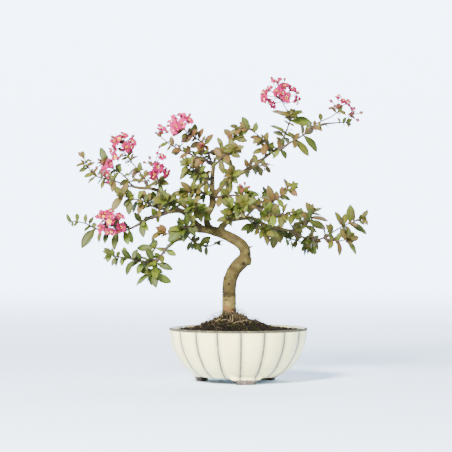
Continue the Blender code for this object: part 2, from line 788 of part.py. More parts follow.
def split_route(points, radii, at):
    """Cut a route at a length from its start: the near part, and the far part a gap further on."""
    near, far, walked = [(points[0], radii[0])], [], 0.0
    for i in range(1, len(points)):
        step = (points[i] - points[i - 1]).length
        for cut, is_end in ((at, True), (at + GAP * MM, False)):
            if walked <= cut < walked + step:
                share = (cut - walked) / step
                place = points[i - 1].lerp(points[i], share)
                radius = radii[i - 1] + (radii[i] - radii[i - 1]) * share
                (near if is_end else far).append((place, radius))
        walked += step
        if walked <= at:
            near.append((points[i], radii[i]))
        elif walked > at + GAP * MM:
            far.append((points[i], radii[i]))
    return near, far


def thinned(route):
    """A route without the points that lie within a small distance of a straight run."""
    if len(route) < 3:
        return route
    first, last = route[0][0], route[-1][0]
    along = (last - first).normalized()
    worst, where = 0.0, 0
    for i, (place, radius) in enumerate(route[1:-1], 1):
        off = place - first
        stray = (off - along * off.dot(along)).length
        if stray > worst:
            worst, where = stray, i
    if worst < THIN_TOLERANCE * MM:
        return [route[0], route[-1]]
    return thinned(route[:where + 1])[:-1] + thinned(route[where:])


def route_tube(name, route, sides_level, group):
    """A tube along a route of places and radii, whose first run keeps its direction."""
    route = route[:1] + thinned(route[1:])
    return tube(name, [p for p, r in route], [r for p, r in route], sides_level, group)


def tapered(count, radii):
    first, last = radii
    return [first + (last - first) * i / (count - 1) for i in range(count)]


def lobe_dip(angle):
    """How deep a point lies in a groove: 0 at the crown of a lobe, 1 in the groove."""
    return 1.0 - abs(math.sin(0.5 * POT_LOBES * angle)) ** 0.8


def shape_lobes(mesh):
    """Draw the wall in along the grooves, fading out towards the foot."""
    for corner in mesh.vertices:
        place = corner.co
        radius = math.hypot(place.x, place.y)
        fade = (place.z / MM - LOBE_FOOT_Z) / (LOBE_FULL_Z - LOBE_FOOT_Z)
        fade = min(max(fade, 0.0), 1.0) * min(radius / MM / SOIL_EDGE, 1.0) ** 2
        angle = math.atan2(place.y, place.x)
        scale = 1.0 - LOBE_DEPTH * MM * lobe_dip(angle) * fade / max(radius, MM)
        place.x *= scale
        place.y *= scale


def bracket_foot(angle, group):
    """One bracket foot: an upright plate across the radius, wide where it meets the pot."""
    curve = bpy.data.curves.new("foot", "CURVE")
    curve.dimensions = "2D"
    curve.fill_mode = "BOTH"
    curve.extrude = 0.5 * FOOT_THICKNESS * MM
    spline = curve.splines.new("POLY")
    outline = FOOT_OUTLINE + [(-x, z) for x, z in reversed(FOOT_OUTLINE)]
    spline.points.add(len(outline) - 1)
    for corner, (x, z) in zip(spline.points, outline):
        corner.co = (x * MM, z * MM, 0.0, 1.0)
    spline.use_cyclic_u = True
    guide = new_object("foot", curve, group)
    turn = math.radians(angle)
    out = Vector((math.cos(turn), math.sin(turn), 0.0))
    side = Vector((-out.y, out.x, 0.0))
    frame = Matrix((side, Vector((0.0, 0.0, 1.0)), out)).transposed().to_4x4()
    frame.translation = out * FOOT_RADIUS * MM
    mesh = clean_mesh(evaluated_mesh(guide))
    bpy.data.objects.remove(guide, do_unlink=True)
    mesh.transform(frame)
    return new_object("foot", mesh, group)


def make_pot(group, helpers):
    pot = turned("pot", POT_PROFILE, POT_STEPS, group)
    shape_lobes(pot.data)
    for angle in FOOT_ANGLES:
        bracket_foot(angle, helpers)
    join_repeats(pot, helpers, "EXACT")
    pot.data.transform(Matrix.Rotation(math.radians(POT_TURN), 4, "Z"))
    pot.data.materials.append(finish_material("glaze"))
    return pot


def mound_height(distance):
    """Height of the soil at a distance from the trunk, by straight steps between measured places."""
    for (d0, z0), (d1, z1) in zip(MOUND, MOUND[1:]):
        if distance <= d1:
            return z0 + (z1 - z0) * max(distance - d0, 0.0) / (d1 - d0)
    return MOUND[-1][1]


def crumb(x, y):
    """Small lumps of the soil's surface."""
    return math.sin(0.31 * x + 1.3) * math.cos(0.27 * y) + 0.6 * math.sin(0.53 * x - 0.41 * y)


def make_soil(group, helpers):
    soil = turned("soil", SOIL_PROFILE, 36, group)
    shape_lobes(soil.data)
    for corner in soil.data.vertices:
        place = corner.co
        if place.z / MM > SOIL_BRIM_Z:
            x = place.x / MM
            y = place.y / MM
            away = max(math.hypot(x - TRUNK_FOOT[0], y - TRUNK_FOOT[1]), 1.0)
            steeper = 1.0 + LEFT_FALL * max(0.0, TRUNK_FOOT[0] - x) / away
            place.z = (mound_height(away * steeper) + CRUMB * crumb(x, y)) * MM
    soil.data.transform(Matrix.Rotation(math.radians(POT_TURN), 4, "Z"))
    bpy.ops.mesh.primitive_cylinder_add(
        vertices=16,
        radius=TRUNK_HOLE_RADIUS * MM,
        depth=100.0 * MM,
        location=(TRUNK_FOOT[0] * MM, TRUNK_FOOT[1] * MM, (TRUNK_FOOT_Z - GAP + 50.0) * MM),
    )
    cutter = bpy.context.object
    hole = soil.modifiers.new("trunk_hole", "BOOLEAN")
    hole.operation = "DIFFERENCE"
    hole.object = cutter
    cut = evaluated_mesh(soil)
    soil.modifiers.clear()
    soil.data = cut
    bpy.data.objects.remove(cutter, do_unlink=True)
    keep_main_body(soil.data)
    soil.data.materials.clear()
    soil.data.materials.append(finish_material("soil"))
    return soil


def make_drain_mesh(group):
    """A small net over the drain hole, so that the soil stays in."""
    work = bmesh.new()
    bmesh.ops.create_grid(work, x_segments=DRAIN_CELLS, y_segments=DRAIN_CELLS, size=0.5 * DRAIN_SIDE * MM)
    pitch = DRAIN_SIDE * MM / DRAIN_CELLS
    holes = []
    for face in work.faces:
        middle = face.calc_center_median()
        column = int((middle.x + 0.5 * DRAIN_SIDE * MM) / pitch)
        row = int((middle.y + 0.5 * DRAIN_SIDE * MM) / pitch)
        if column % 2 and row % 2:
            holes.append(face)
    bmesh.ops.delete(work, geom=holes, context="FACES")
    mesh = bpy.data.meshes.new("drain_mesh")
    work.to_mesh(mesh)
    work.free()
    net = new_object("drain_mesh", mesh, group)
    net.location.z = DRAIN_Z * MM
    wall = net.modifiers.new("thickness", "SOLIDIFY")
    wall.thickness = DRAIN_THICKNESS * MM
    wall.offset = 1.0
    net.data.materials.append(finish_material("drain"))
    return net


def make_trunk(group, helpers):
    """Trunk and main limbs, grown as one, with a spur wherever a shoot goes on."""
    foot = Vector((*TRUNK_FOOT, TRUNK_FOOT_Z)) * MM
    collar = Vector((*TRUNK_FOOT, COLLAR_Z)) * MM
    stem = LIMBS["trunk"]
    route = [(foot, TRUNK_FOOT_RADIUS), (collar, TRUNK_FOOT_RADIUS)]
    route += [(metres(p), p[3]) for p in stem]
    trunk = route_tube("trunk", route, 3, group)
    for name, route in LIMBS.items():
        if name != "trunk":
            route_tube(name, [(metres(p), p[3]) for p in route], 1, helpers)
    for shoot in SHOOTS.values():
        near, far = shoot_parts(shoot)
        route_tube("spur", near, 0, helpers)
    join_repeats(trunk, helpers)
    trunk.data.materials.append(finish_material("bark"))
    return trunk


def shoot_parts(shoot):
    """The spur of a shoot's first twig, and the rest of that twig."""
    first = shoot["twigs"][0]
    points = [metres(p) for p in first]
    return split_route(points, tapered(len(points), shoot["radii"]), SPUR * MM)


def twig_routes(name):
    """Every twig of a shoot, as places with radii; the first starts at the end of its spur."""
    shoot = SHOOTS[name]
    routes = [shoot_parts(shoot)[1]]
    for twig in shoot["twigs"][1:]:
        points = [metres(p) for p in twig]
        routes.append(list(zip(points, tapered(len(points), shoot["radii"]))))
    return routes


def leaf_seat(routes, tip, length):
    """The place on the twigs that a leaf of this length reaches its tip from, pointing forward."""
    best = None
    joint = routes[0][0][0]
    for route in routes:
        for (start, r0), (end, r1) in zip(route, route[1:]):
            ahead = (end - start).normalized()
            for i in range(6):
                place = start.lerp(end, i / 5)
                if (place - joint).length < LEAF_OFF_JOINT * MM:
                    continue
                reach = tip - place
                turned_back = max(0.0, 0.2 - ahead.dot(reach.normalized()))
                cost = abs(reach.length - length) + turned_back * 0.5 * length
                if best is None or cost < best[0]:
                    best = (cost, place)
    return best[1]


def leaf_normal(place, tip, chance):
    """The way a leaf faces: up, outwards from the tree and a little by chance."""
    along = (tip - place).normalized()
    outward = Vector((place.x, place.y, 0.0)).normalized()
    loose = Vector([chance.uniform(-1.0, 1.0) for i in range(3)])
    face = Vector(LEAF_FACE) + LEAF_OUTWARD * outward + LEAF_CHANCE * loose
    face -= along * face.dot(along)
    return face.normalized()


def blade(name, root, tip, normal, width, small, thickness, group):
    """A thin arched plate from root to tip, with its outline split alike on both faces."""
    along = tip - root
    length = along.length
    along.normalize()
    side = normal.cross(along)
    half = 0.5 * width * side
    stations = SMALL_OUTLINE if small else LEAF_OUTLINE
    edge = []
    for sign in (1, -1):
        for share, reach, rise in stations[::sign]:
            edge.append(root + along * length * share + half * sign * reach + normal * length * rise)
    outline = [root] + edge[:len(stations)] + [tip - normal * LEAF_DROOP * length] + edge[len(stations):]
    return plate(name, outline, normal * thickness, blade_faces(len(outline)), group)


def blade_faces(count):
    """Triangles between the two edges of a blade's outline, from the root to the tip."""
    faces = []
    left, right = 0, count
    for i in range(count // 2 - 1):
        faces.append((left, left + 1, right - 1))
        if i:
            faces.append((left, right - 1, right % count))
        left += 1
        right -= 1
    faces.append((left, left + 1, right))
    return faces


def plate(name, outline, thickness, faces, group):
    """A closed thin plate: the same triangles on both faces, and a rim round the outline."""
    work = bmesh.new()
    upper = [work.verts.new(place + 0.5 * thickness) for place in outline]
    lower = [work.verts.new(place - 0.5 * thickness) for place in outline]
    for a, b, c in faces:
        work.faces.new((upper[a], upper[b], upper[c]))
        work.faces.new((lower[c], lower[b], lower[a]))
    for i in range(len(outline)):
        j = (i + 1) % len(outline)
        work.faces.new((upper[i], lower[i], lower[j]))
        work.faces.new((upper[i], lower[j], upper[j]))
    bmesh.ops.recalc_face_normals(work, faces=work.faces)
    if work.calc_volume(signed=True) < 0:
        bmesh.ops.reverse_faces(work, faces=work.faces)
    mesh = bpy.data.meshes.new(name)
    work.to_mesh(mesh)
    work.free()
    return new_object(name, mesh, group)


def mesh_tree(mesh):
    corners = [v.co.copy() for v in mesh.vertices]
    return BVHTree.FromPolygons(corners, [list(p.vertices) for p in mesh.polygons])


def mesh_box(mesh):
    low = [min(v.co[i] for v in mesh.vertices) for i in range(3)]
    high = [max(v.co[i] for v in mesh.vertices) for i in range(3)]
    return low, high


def boxes_meet(a, b):
    return all(a[0][i] <= b[1][i] and b[0][i] <= a[1][i] for i in range(3))


class Room:
    """What has been placed so far, to keep new pieces clear of other nodes."""

    def __init__(self):
        self.taken = []

    def add(self, owner, mesh):
        self.taken.append((owner, mesh_box(mesh), mesh_tree(mesh)))

    def is_free(self, owners, mesh):
        """Whether a mesh crosses nothing but what belongs to its own owners."""
        box = mesh_box(mesh)
        tree = None
        for other, other_box, other_tree in self.taken:
            if other in owners or not boxes_meet(box, other_box):
                continue
            tree = tree or mesh_tree(mesh)
            if tree.overlap(other_tree):
                return False
        return True


def place_leaf(name, routes, leaf, room, chance, helpers):
    """Grow one leaf; where it would cross another node it is bent clear, or left out."""
    length = leaf[3] * MM
    wish = metres(leaf)
    seat = leaf_seat(routes, wish, length)
    small = leaf[3] < SMALL_LEAF
    for attempt in range(LEAF_TRIES):
        loose = Vector([chance.uniform(-1.0, 1.0) for i in range(3)])
        aim = wish + loose * attempt * BEND_STEP * MM - seat
        tip = seat + aim.normalized() * min(aim.length, LEAF_REACH * length)
        normal = leaf_normal(seat, tip, chance)
        width = LEAF_WIDTH * length
        swollen = blade(name, seat, tip + (tip - seat) * 0.05, normal, width + 2 * LEAF_CLEAR * MM,
                        small, (LEAF_THICKNESS + 2 * LEAF_CLEAR) * MM, helpers)
        own = (name,) if attempt < OWN_LEAF_TRIES else (name, name + " leaf")
        free = room.is_free(own, swollen.data)
        bpy.data.objects.remove(swollen, do_unlink=True)
        if free:
            grown = blade(name, seat, tip, normal, width, small, LEAF_THICKNESS * MM, helpers)
            room.add(name + " leaf", grown.data)
            return


def make_shoot(name, room, group, helpers):
    """One leafy shoot: its twigs, the spurs of its flower heads and its leaves, fused in one."""
    chance = random.Random(name)
    routes = twig_routes(name)
    host = route_tube(name, routes[0], 0, group)
    for route in routes[1:]:
        route_tube(name, route, 0, helpers)
    for head in HEADS.values():
        if head["shoot"] == name:
            route_tube(name, head_parts(head)[0], 0, helpers)
    for leaf in SHOOTS[name]["leaves"]:
        place_leaf(name, routes, leaf, room, chance, helpers)
    join_repeats(host, helpers)
    host.data.materials.append(finish_material("leaf"))
    return host


def floret(name, middle, axis, chance, group):
    """A floret: one cupped plate whose outline is cut into six petals."""
    across = axis.orthogonal().normalized()
    start = chance.uniform(0.0, 360.0)
    outline = []
    for i in range(2 * FLORET_PETALS):
        turn = Matrix.Rotation(math.radians(start + i * 180.0 / FLORET_PETALS), 3, axis)
        reach = NOTCH if i % 2 else PETAL_LENGTH * chance.uniform(0.9, 1.1)
        lift = 0.0 if i % 2 else PETAL_LIFT * chance.uniform(0.6, 1.4)
        outline.append(middle + (turn @ across * reach + axis * lift) * MM)
    count = len(outline)
    faces = [(i - 1, i, i + 1) for i in range(2, count, 2)] + [(count - 1, 0, 1)]
    faces += [(1, i, i + 2) for i in range(3, count - 2, 2)]
    return plate(name, outline, axis * LEAF_THICKNESS * MM, faces, group)


def head_parts(head):
    """The spur that carries a head, which belongs to its shoot, and the head's own stalk."""
    stem = [metres(p) for p in head["stalk"]]
    return split_route(stem, [STALK_RADIUS] * len(stem), HEAD_SPUR * MM)


def nearest_place(stem, place):
    """The place on a head's stem that a flower's own stalk leaves from."""
    half_way = stem[-2].lerp(stem[-1], 0.5)
    return min([*stem[1:], half_way], key=lambda joint: (joint - place).length)


def pedicel(name, stem, middle, group):
    root = nearest_place(stem, middle)
    tube(name, [root, middle], [PEDICEL, 0.5 * PEDICEL], 0, group)


def bud(name, stem, middle, group):
    """A bud: the end of its stalk, swollen and drawn to a point."""
    root = nearest_place(stem, middle)
    ahead = (middle - root).normalized()
    places = [root, middle - ahead * BUD_HALF * MM, middle, middle + ahead * BUD_HALF * MM]
    tube(name, places, [PEDICEL, PEDICEL, BUD_RADIUS, 0.3 * BUD_RADIUS], 0, group)


def make_head(name, group, helpers):
    """One flower head: stalk, pedicels, florets and buds, fused in one."""
    chance = random.Random(name)
    head = HEADS[name]
    route = head_parts(head)[1]
    host = route_tube(name, route, 0, group)
    stem = [place for place, radius in route]
    crown = stem[-1]
    for place in head["florets"]:
        middle = metres(place)
        axis = ((middle - crown).normalized() + Vector((0.0, -0.7, 0.25))).normalized()
        pedicel(name, stem, middle, helpers)
        floret(name, middle, axis, chance, helpers)
    for place in head["buds"]:
        bud(name, stem, metres(place), helpers)
    join_repeats(host, helpers)
    colour = "petal" if head["florets"] else "bud"
    host.data.materials.append(finish_material(colour))
    return host


def stand_on_origin(group):
    """Hang every piece on one empty and move it so that the middle of the underside is the origin."""
    base = bpy.data.objects.new("bonsai", None)
    group.objects.link(base)
    bpy.context.view_layer.update()
    boxes = []
    for thing in group.objects:
        if thing.type == "MESH":
            corners = [thing.matrix_world @ v.co for v in evaluated_mesh(thing).vertices]
            boxes.append([[pick(c[i] for c in corners) for i in range(3)] for pick in (min, max)])
            thing.parent = base
    low = [min(box[0][i] for box in boxes) for i in range(3)]
    high = [max(box[1][i] for box in boxes) for i in range(3)]
    base.location = (-0.5 * (low[0] + high[0]), -0.5 * (low[1] + high[1]), -low[2])


def main():
    clear_scene()
    group = collection("crepe_myrtle_bonsai")
    helpers = collection("helpers")
    make_pot(group, helpers)
    make_drain_mesh(group)
    make_soil(group, helpers)
    trunk = make_trunk(group, helpers)
    room = Room()
    room.add("trunk", trunk.data)
    for name in HEADS:
        head = make_head(name, group, helpers)
        room.add(name, head.data)
    for name in SHOOTS:
        for route in twig_routes(name):
            twig = route_tube(name, route, 0, helpers)
            room.add(name, twig.data)
            bpy.data.objects.remove(twig, do_unlink=True)
    for name in SHOOTS:
        make_shoot(name, room, group, helpers)
    bpy.data.collections.remove(helpers)
    stand_on_origin(group)


main()
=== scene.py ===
"""Looks for a crepe myrtle bonsai with its lobed pot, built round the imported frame.

Every piece is worked out in the tree's own coordinates, with the pot's axis at x = y = 0 and the
feet at z = 0, and is then moved to where the frame's pot stands. X runs to the right, Y away from
the viewer and Z up.
"""

import json
import math
import random
from collections import namedtuple

import bmesh
import bpy
from bpy.props import FloatProperty, FloatVectorProperty, IntProperty, PointerProperty
from bpy.types import Operator, Panel, PropertyGroup
from mathutils import Matrix, Vector, noise

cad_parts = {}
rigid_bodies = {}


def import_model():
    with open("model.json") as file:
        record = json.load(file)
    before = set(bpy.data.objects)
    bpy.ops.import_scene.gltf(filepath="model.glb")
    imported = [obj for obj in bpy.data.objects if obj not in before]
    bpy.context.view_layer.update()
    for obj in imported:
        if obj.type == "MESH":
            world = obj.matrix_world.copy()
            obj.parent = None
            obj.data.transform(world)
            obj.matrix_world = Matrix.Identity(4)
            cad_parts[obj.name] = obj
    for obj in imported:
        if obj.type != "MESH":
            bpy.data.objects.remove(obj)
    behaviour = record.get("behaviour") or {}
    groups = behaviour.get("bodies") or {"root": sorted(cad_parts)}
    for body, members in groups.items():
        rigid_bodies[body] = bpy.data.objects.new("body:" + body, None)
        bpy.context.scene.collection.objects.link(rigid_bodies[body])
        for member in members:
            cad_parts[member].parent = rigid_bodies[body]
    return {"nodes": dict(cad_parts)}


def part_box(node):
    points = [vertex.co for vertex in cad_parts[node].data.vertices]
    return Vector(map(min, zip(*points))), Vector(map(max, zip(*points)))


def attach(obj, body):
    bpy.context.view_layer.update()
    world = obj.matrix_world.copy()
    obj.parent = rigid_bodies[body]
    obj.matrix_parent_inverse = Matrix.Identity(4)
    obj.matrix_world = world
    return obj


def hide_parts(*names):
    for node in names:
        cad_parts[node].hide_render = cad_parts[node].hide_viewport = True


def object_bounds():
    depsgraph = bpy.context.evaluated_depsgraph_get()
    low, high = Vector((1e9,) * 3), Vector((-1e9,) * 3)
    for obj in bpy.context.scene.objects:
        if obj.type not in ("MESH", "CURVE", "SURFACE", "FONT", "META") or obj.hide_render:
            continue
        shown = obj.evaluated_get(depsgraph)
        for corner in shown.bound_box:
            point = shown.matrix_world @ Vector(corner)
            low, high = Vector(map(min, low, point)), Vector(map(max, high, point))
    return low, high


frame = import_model()

bl_info = {
    "name": "Crepe myrtle bonsai",
    "version": (1, 0, 0),
    "blender": (4, 5, 0),
    "location": "View3D > Sidebar > Bonsai",
    "description": "Dresses the bonsai's frame with a glazed pot, soil, bark, leaves and flowers",
    "category": "Object",
}

MM = 0.001
LOWEST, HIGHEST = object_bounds()
POT_LOW, POT_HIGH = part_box("pot")
AXIS = Vector((0.5 * (POT_LOW.x + POT_HIGH.x), 0.5 * (POT_LOW.y + POT_HIGH.y), POT_LOW.z))
POT_TURN = math.radians(12.0)

# Outline of the pot's wall, as radius and height in millimetres: up the outside, over the rim, down
# the inside and out again below the floor.
WALL = [
    (11.0, 7.5), (50.0, 7.5), (54.0, 8.6), (58.6, 10.9), (64.0, 14.6), (68.5, 18.3), (73.0, 22.7),
    (77.0, 28.0), (80.4, 33.5), (83.4, 39.0), (85.8, 45.0), (87.6, 51.0), (88.8, 57.0), (89.5, 63.0),
    (89.9, 67.6), (90.0, 69.0), (89.8, 69.7), (89.3, 70.2), (88.5, 70.45), (87.6, 70.3), (86.8, 69.8),
    (86.3, 68.8), (85.7, 66.0), (84.2, 57.0), (82.2, 49.0), (79.2, 42.0), (74.6, 33.5), (69.0, 26.0),
    (62.6, 18.6), (55.0, 12.5), (11.0, 12.5),
]
WALL_STEPS = 432
LOBES = 18
# Heights in metres between which the grooves deepen, and their depth in millimetres on the inside.
GROOVE_RISE = (0.009, 0.024)
INNER_GROOVE = 2.2
# Height of the glaze's lower edge in metres, from glazed to bare.
BARE_CLAY = (0.0072, 0.0064)
RIM_EDGE = (89.7, 69.9)
FOOT_ANGLES = (280.0, 40.0, 160.0)
FOOT_RADIUS = 50.5
FOOT_STEPS = 40
# A foot's outline: half width, height and half depth.
FOOT = [
    (11.2, 0.0, 4.9), (11.9, 0.5, 5.5), (12.0, 3.4, 5.5), (13.0, 3.6, 5.5), (15.1, 4.3, 5.5),
    (17.5, 5.7, 5.6), (19.7, 7.4, 5.8), (21.3, 9.1, 6.2), (22.2, 10.6, 6.6), (22.5, 11.9, 7.0),
]

# Soil: the mound's height above the feet by the distance from the trunk, how much steeper it falls
# to the left, the ground's edge below the rim and its skirt down inside the pot.
TRUNK_FOOT = (-12.0, 0.0)
MOUND = [(0.0, 89.0), (9.0, 88.5), (18.0, 84.0), (30.0, 79.0), (43.0, 75.0), (56.0, 70.0), (72.0, 66.4)]
LEFT_FALL = 0.4
SOIL_RADIUS = 85.5
SOIL_EDGE_Z = 65.2
SOIL_SKIRT = [(84.6, 60.0), (78.4, 42.0), (54.4, 13.0)]
SOIL_RINGS = 110
SOIL_STEPS = 288

# Litter: how blanks are stretched, and the smallest and largest bits in metres.
CRUMB_SHAPES = [(1.0, 0.8, 0.6), (1.0, 1.0, 0.8), (0.7, 0.9, 0.5), (1.0, 0.6, 0.7)]
CRUMB_SIZES = (0.0012, 0.0064)
CHIP_SHAPES = [(1.0, 0.42, 0.12), (1.0, 0.3, 0.2), (0.8, 0.5, 0.1)]
CHIP_SIZES = (0.003, 0.0085)
MOSS_SIZES = (0.0009, 0.0022)
TUFT_LEAVES = 7
# Surface roots: where they start round the trunk, in degrees, and the length of a step.
ROOT_ANGLES = [-90, -90, -60, -120, 180, 0, 90]
ROOT_PACE = 1.6
FIBRE_REACH = 72.0
FIBRE_STEPS = 8

# Shoots and flowers, most of it as in the solids: lengths in millimetres, shares and counts.
SPUR = 7.5
HEAD_SPUR = 2.5
GAP = 0.3
LEAF_REACH = 1.15
LEAF_KINDS = 8
LEAF_FACE = (0.0, -0.7, 0.5)
LEAF_OUTWARD = 0.35
LEAF_CHANCE = 0.38
LEAF_LOOSENESS = 0.42
LEAF_SHIFT = 3.0
# Leaves that keep a drawn one company: turn about the twig, and the share of leaves that have it.
COMPANY = [(180.0, 0.95), (100.0, 0.6), (255.0, 0.55), (50.0, 0.22)]
# Shoots whose leaves keep less or more company than that.
COMPANY_SHARE = {
    "far_left": 0.65, "far_upper_right": 0.5, "top_right": 0.7, "low_left": 1.5,
    "right_upper_twig": 2.0, "right_front_twig": 3.0, "right_low_twig": 3.5, "right_rising_twig": 3.5,
    "back_right": 1.9, "centre_left_twig": 1.5, "centre_drop_twig": 1.4, "front_left": 1.5,
    "back_left": 1.5, "back_centre": 1.4, "front_right": 1.8, "front_centre": 1.4, "inner_upright": 1.3,
    "right_inner_twig": 1.5, "low_left_bud_twig": 1.3, "left_flower_stalk": 0.6,
}
TIP_LENGTH = (6.5, 11.0)
EXTRA_FLORETS = 0.75
BRACTS = 11
BRACT_LENGTH = (4.5, 9.0)
TUFT_THREADS = 60
LEAF_OFF_JOINT = 5.0
LEAF_DROOP = 0.04
BEND_STEP = 0.6
PETALS = 6
PETAL_KINDS = 6
BUD_KINDS = 3
STAMENS = 12
PETAL_LENGTH = 7.8
PETAL_LIFT = 1.6
# Outlines of a calyx and a bud of unit length: place along it and radius.
CALYX = [(0.0, 0.12), (0.12, 0.26), (0.4, 0.42), (0.75, 0.5), (1.0, 0.46)]
BUD = [
    (0.0, 0.1), (0.1, 0.22), (0.28, 0.36), (0.5, 0.42), (0.7, 0.38), (0.86, 0.26), (0.96, 0.12),
    (1.0, 0.03),
]

# Trunk: height and radius of its base, roots that flare from it (angle, reach and size), old cuts
# (place, radius and depth), dark rings (height, half thickness and depth) and warm, flaked patches
# (place, radius and share).
TRUNK_BASE = [(62.0, 9.0), (82.0, 9.4), (89.0, 8.6), (96.0, 7.8)]
ROOT_FLARE = [
    (20.0, 11.0, 2.0), (95.0, 12.0, 2.2), (150.0, 11.0, 2.0), (238.0, 10.0, 1.6), (300.0, 10.0, 1.8),
]
SCARS = [
    (18.0, 0.0, 154.0, 3.8, 1.2), (7.0, -6.5, 153.0, 2.6, 0.3), (-6.5, -5.0, 91.0, 5.5, 0.4),
    (-19.0, -4.0, 119.0, 3.4, 0.2), (-12.0, -8.0, 127.0, 1.8, 0.15), (14.0, -6.0, 166.0, 2.6, 0.3),
    (-8.0, -6.0, 187.0, 2.8, 0.3), (12.0, -7.0, 150.0, 2.2, 0.4),
]
RINGS = [(113.0, 6.0, 0.45), (106.5, 2.2, 0.1), (134.0, 2.6, 0.1)]
PALE_BARK = (92.0, 108.0)
SPURS = [((9, 0, 173), (18.5, -1, 176), 1.5)]
WARM_PATCHES = [(-15.5, -7.0, 96.0, 5.0, 0.9), (-9.0, -8.0, 90.5, 6.0, 0.6)]
# Extra radius of the stem above the soil, and of every limb.
STEM_SWELL = 1.3
LIMB_SWELL = 0.3

# Visible share of a twig's measured thickness, and how much stouter some are where they start.
TWIG_SLIMNESS = 1.2
STOUT_TWIGS = {
    "far_left": 0.75, "low_left": 0.5, "left_upper_twig": 0.45, "top_right": 0.3,
    "far_upper_right": 0.45,
}

# How pale the florets of a head are, and how crimson its buds.
PALE_HEADS = {"head_top_left": 0.8, "head_left_spray": 1.1, "head_left": 0.45, "head_back_left": 0.9}
SMALL_HEADS = {"head_right": 0.72, "head_far_right": 0.75, "head_left": 0.92}
BUD_TONES = {"crimson_bud": 1.0, "bud_cluster": 0.75, "head_inner_left": 0.6}

# Tufts of anthers that show most: place from the pot's axis and spread.
GOLD_TUFTS = [
    (-163.3, -69.0, 207.5, 7.2), (-170.7, -66.0, 214.4, 3.6), (-156.9, 43.0, 317.5, 4.6),
    (-161.4, 29.0, 291.9, 4.4),
]

# Steps round the floor and up its curve.
FLOOR_STEPS = 96
COVE_STEPS = 12
# Lamps: place from the pot's axis, size, power and colour.
LAMPS = [
    ("key", (-1.15, -2.6, 1.6), 0.7, 590.0, (1.0, 0.965, 0.91)),
    ("fill", (2.0, -1.8, 0.9), 1.6, 30.0, (0.95, 0.97, 1.0)),
    ("back", (0.4, 1.8, 2.4), 1.6, 70.0, (1.0, 0.98, 0.95)),
]

Shoot = namedtuple("Shoot", "radii tone twigs leaves")
Head = namedtuple("Head", "stalk florets buds")

# The tree's own measures, in millimetres from the pot's axis at the level of the feet.
# Main limbs, from their root outwards: x, y, z and radius.
LIMBS = {
    "trunk": [(-12, 0, 106, 7.6), (-12, 0, 119, 7.4), (-11, 1, 132, 7.7), (-6, 2, 144, 7.9),
        (0, 2, 152, 8.4), (7, 2, 157, 8.8), (9, 1, 164, 7.2), (9, 0, 171, 6.9), (5, -1, 178, 6.9),
        (-3, -2, 184, 6.6), (-13, -2, 189, 6.5), (-22, -1, 193, 6.2), (-32, 0, 196, 5.8),
        (-39, 0, 198, 5.0)],
    "knob": [(7, 2, 157, 5.6), (17, 1, 156, 4.9)],
    "left_limb": [(-33, 0, 196, 4.6), (-43, -3, 197, 4.2), (-52, -6, 202, 4.0), (-60, -9, 211, 3.8),
        (-68, -12, 219, 3.6), (-75, -14, 223, 3.3), (-86, -16, 222, 2.9), (-93, -18, 220, 2.6)],
    "cut_stub": [(-41, 1, 197, 4.2), (-54, 4, 198, 3.7), (-67, 7, 198, 3.5)],
    "centre_limb": [(-33, 0, 196, 4.4), (-41, 2, 204, 4.2), (-41, 4, 217, 3.9), (-37, 5, 223, 3.9),
        (-33, 7, 231, 4.3), (-34, 8, 242, 4.0), (-34, 10, 256, 3.0), (-34, 11, 269, 2.6),
        (-32, 12, 278, 2.4), (-33, 12, 285, 2.1)],
    "upper_right_limb": [(-34, 8, 238, 3.4), (-26, 10, 249, 2.8), (-17, 12, 259, 2.5), (-8, 14, 265, 2.3),
        (2, 15, 270, 2.2), (13, 16, 276, 2.1), (23, 17, 282, 2.0), (31, 18, 289, 1.9), (42, 18, 298, 1.8),
        (49, 18, 302, 1.6)],
    "right_limb": [(-25, 0, 195, 4.6), (-20, -3, 203, 4.1), (-15, -5, 208, 3.7), (-10, -7, 211, 3.4),
        (-3, -10, 218, 3.0), (6, -14, 222, 2.8), (15, -17, 226, 2.6), (23, -19, 227, 2.4),
        (32, -21, 226, 2.2)],
    "low_right_limb": [(-12, -6, 210, 3.0), (0, 0, 212, 2.7), (9, 6, 213, 2.6), (18, 12, 213, 2.5),
        (26, 16, 209, 2.4), (34, 18, 204, 2.2), (51, 17, 200, 2.0), (68, 14, 196, 1.8), (81, 10, 189, 1.6)],
    "upper_left_limb": [(-63, -9, 214, 3.0), (-68, 0, 227, 2.8), (-80, 8, 236, 2.5), (-92, 14, 243, 2.3),
        (-102, 18, 248, 2.1), (-116, 20, 252, 2.0), (-128, 23, 252, 1.8), (-138, 26, 254, 1.6)],
    "low_left_limb": [(-60, 5, 198, 2.9), (-67, -3, 192, 2.6), (-69, -12, 186, 2.3), (-80, -21, 185, 2.1),
        (-88, -27, 179, 1.9)],
}

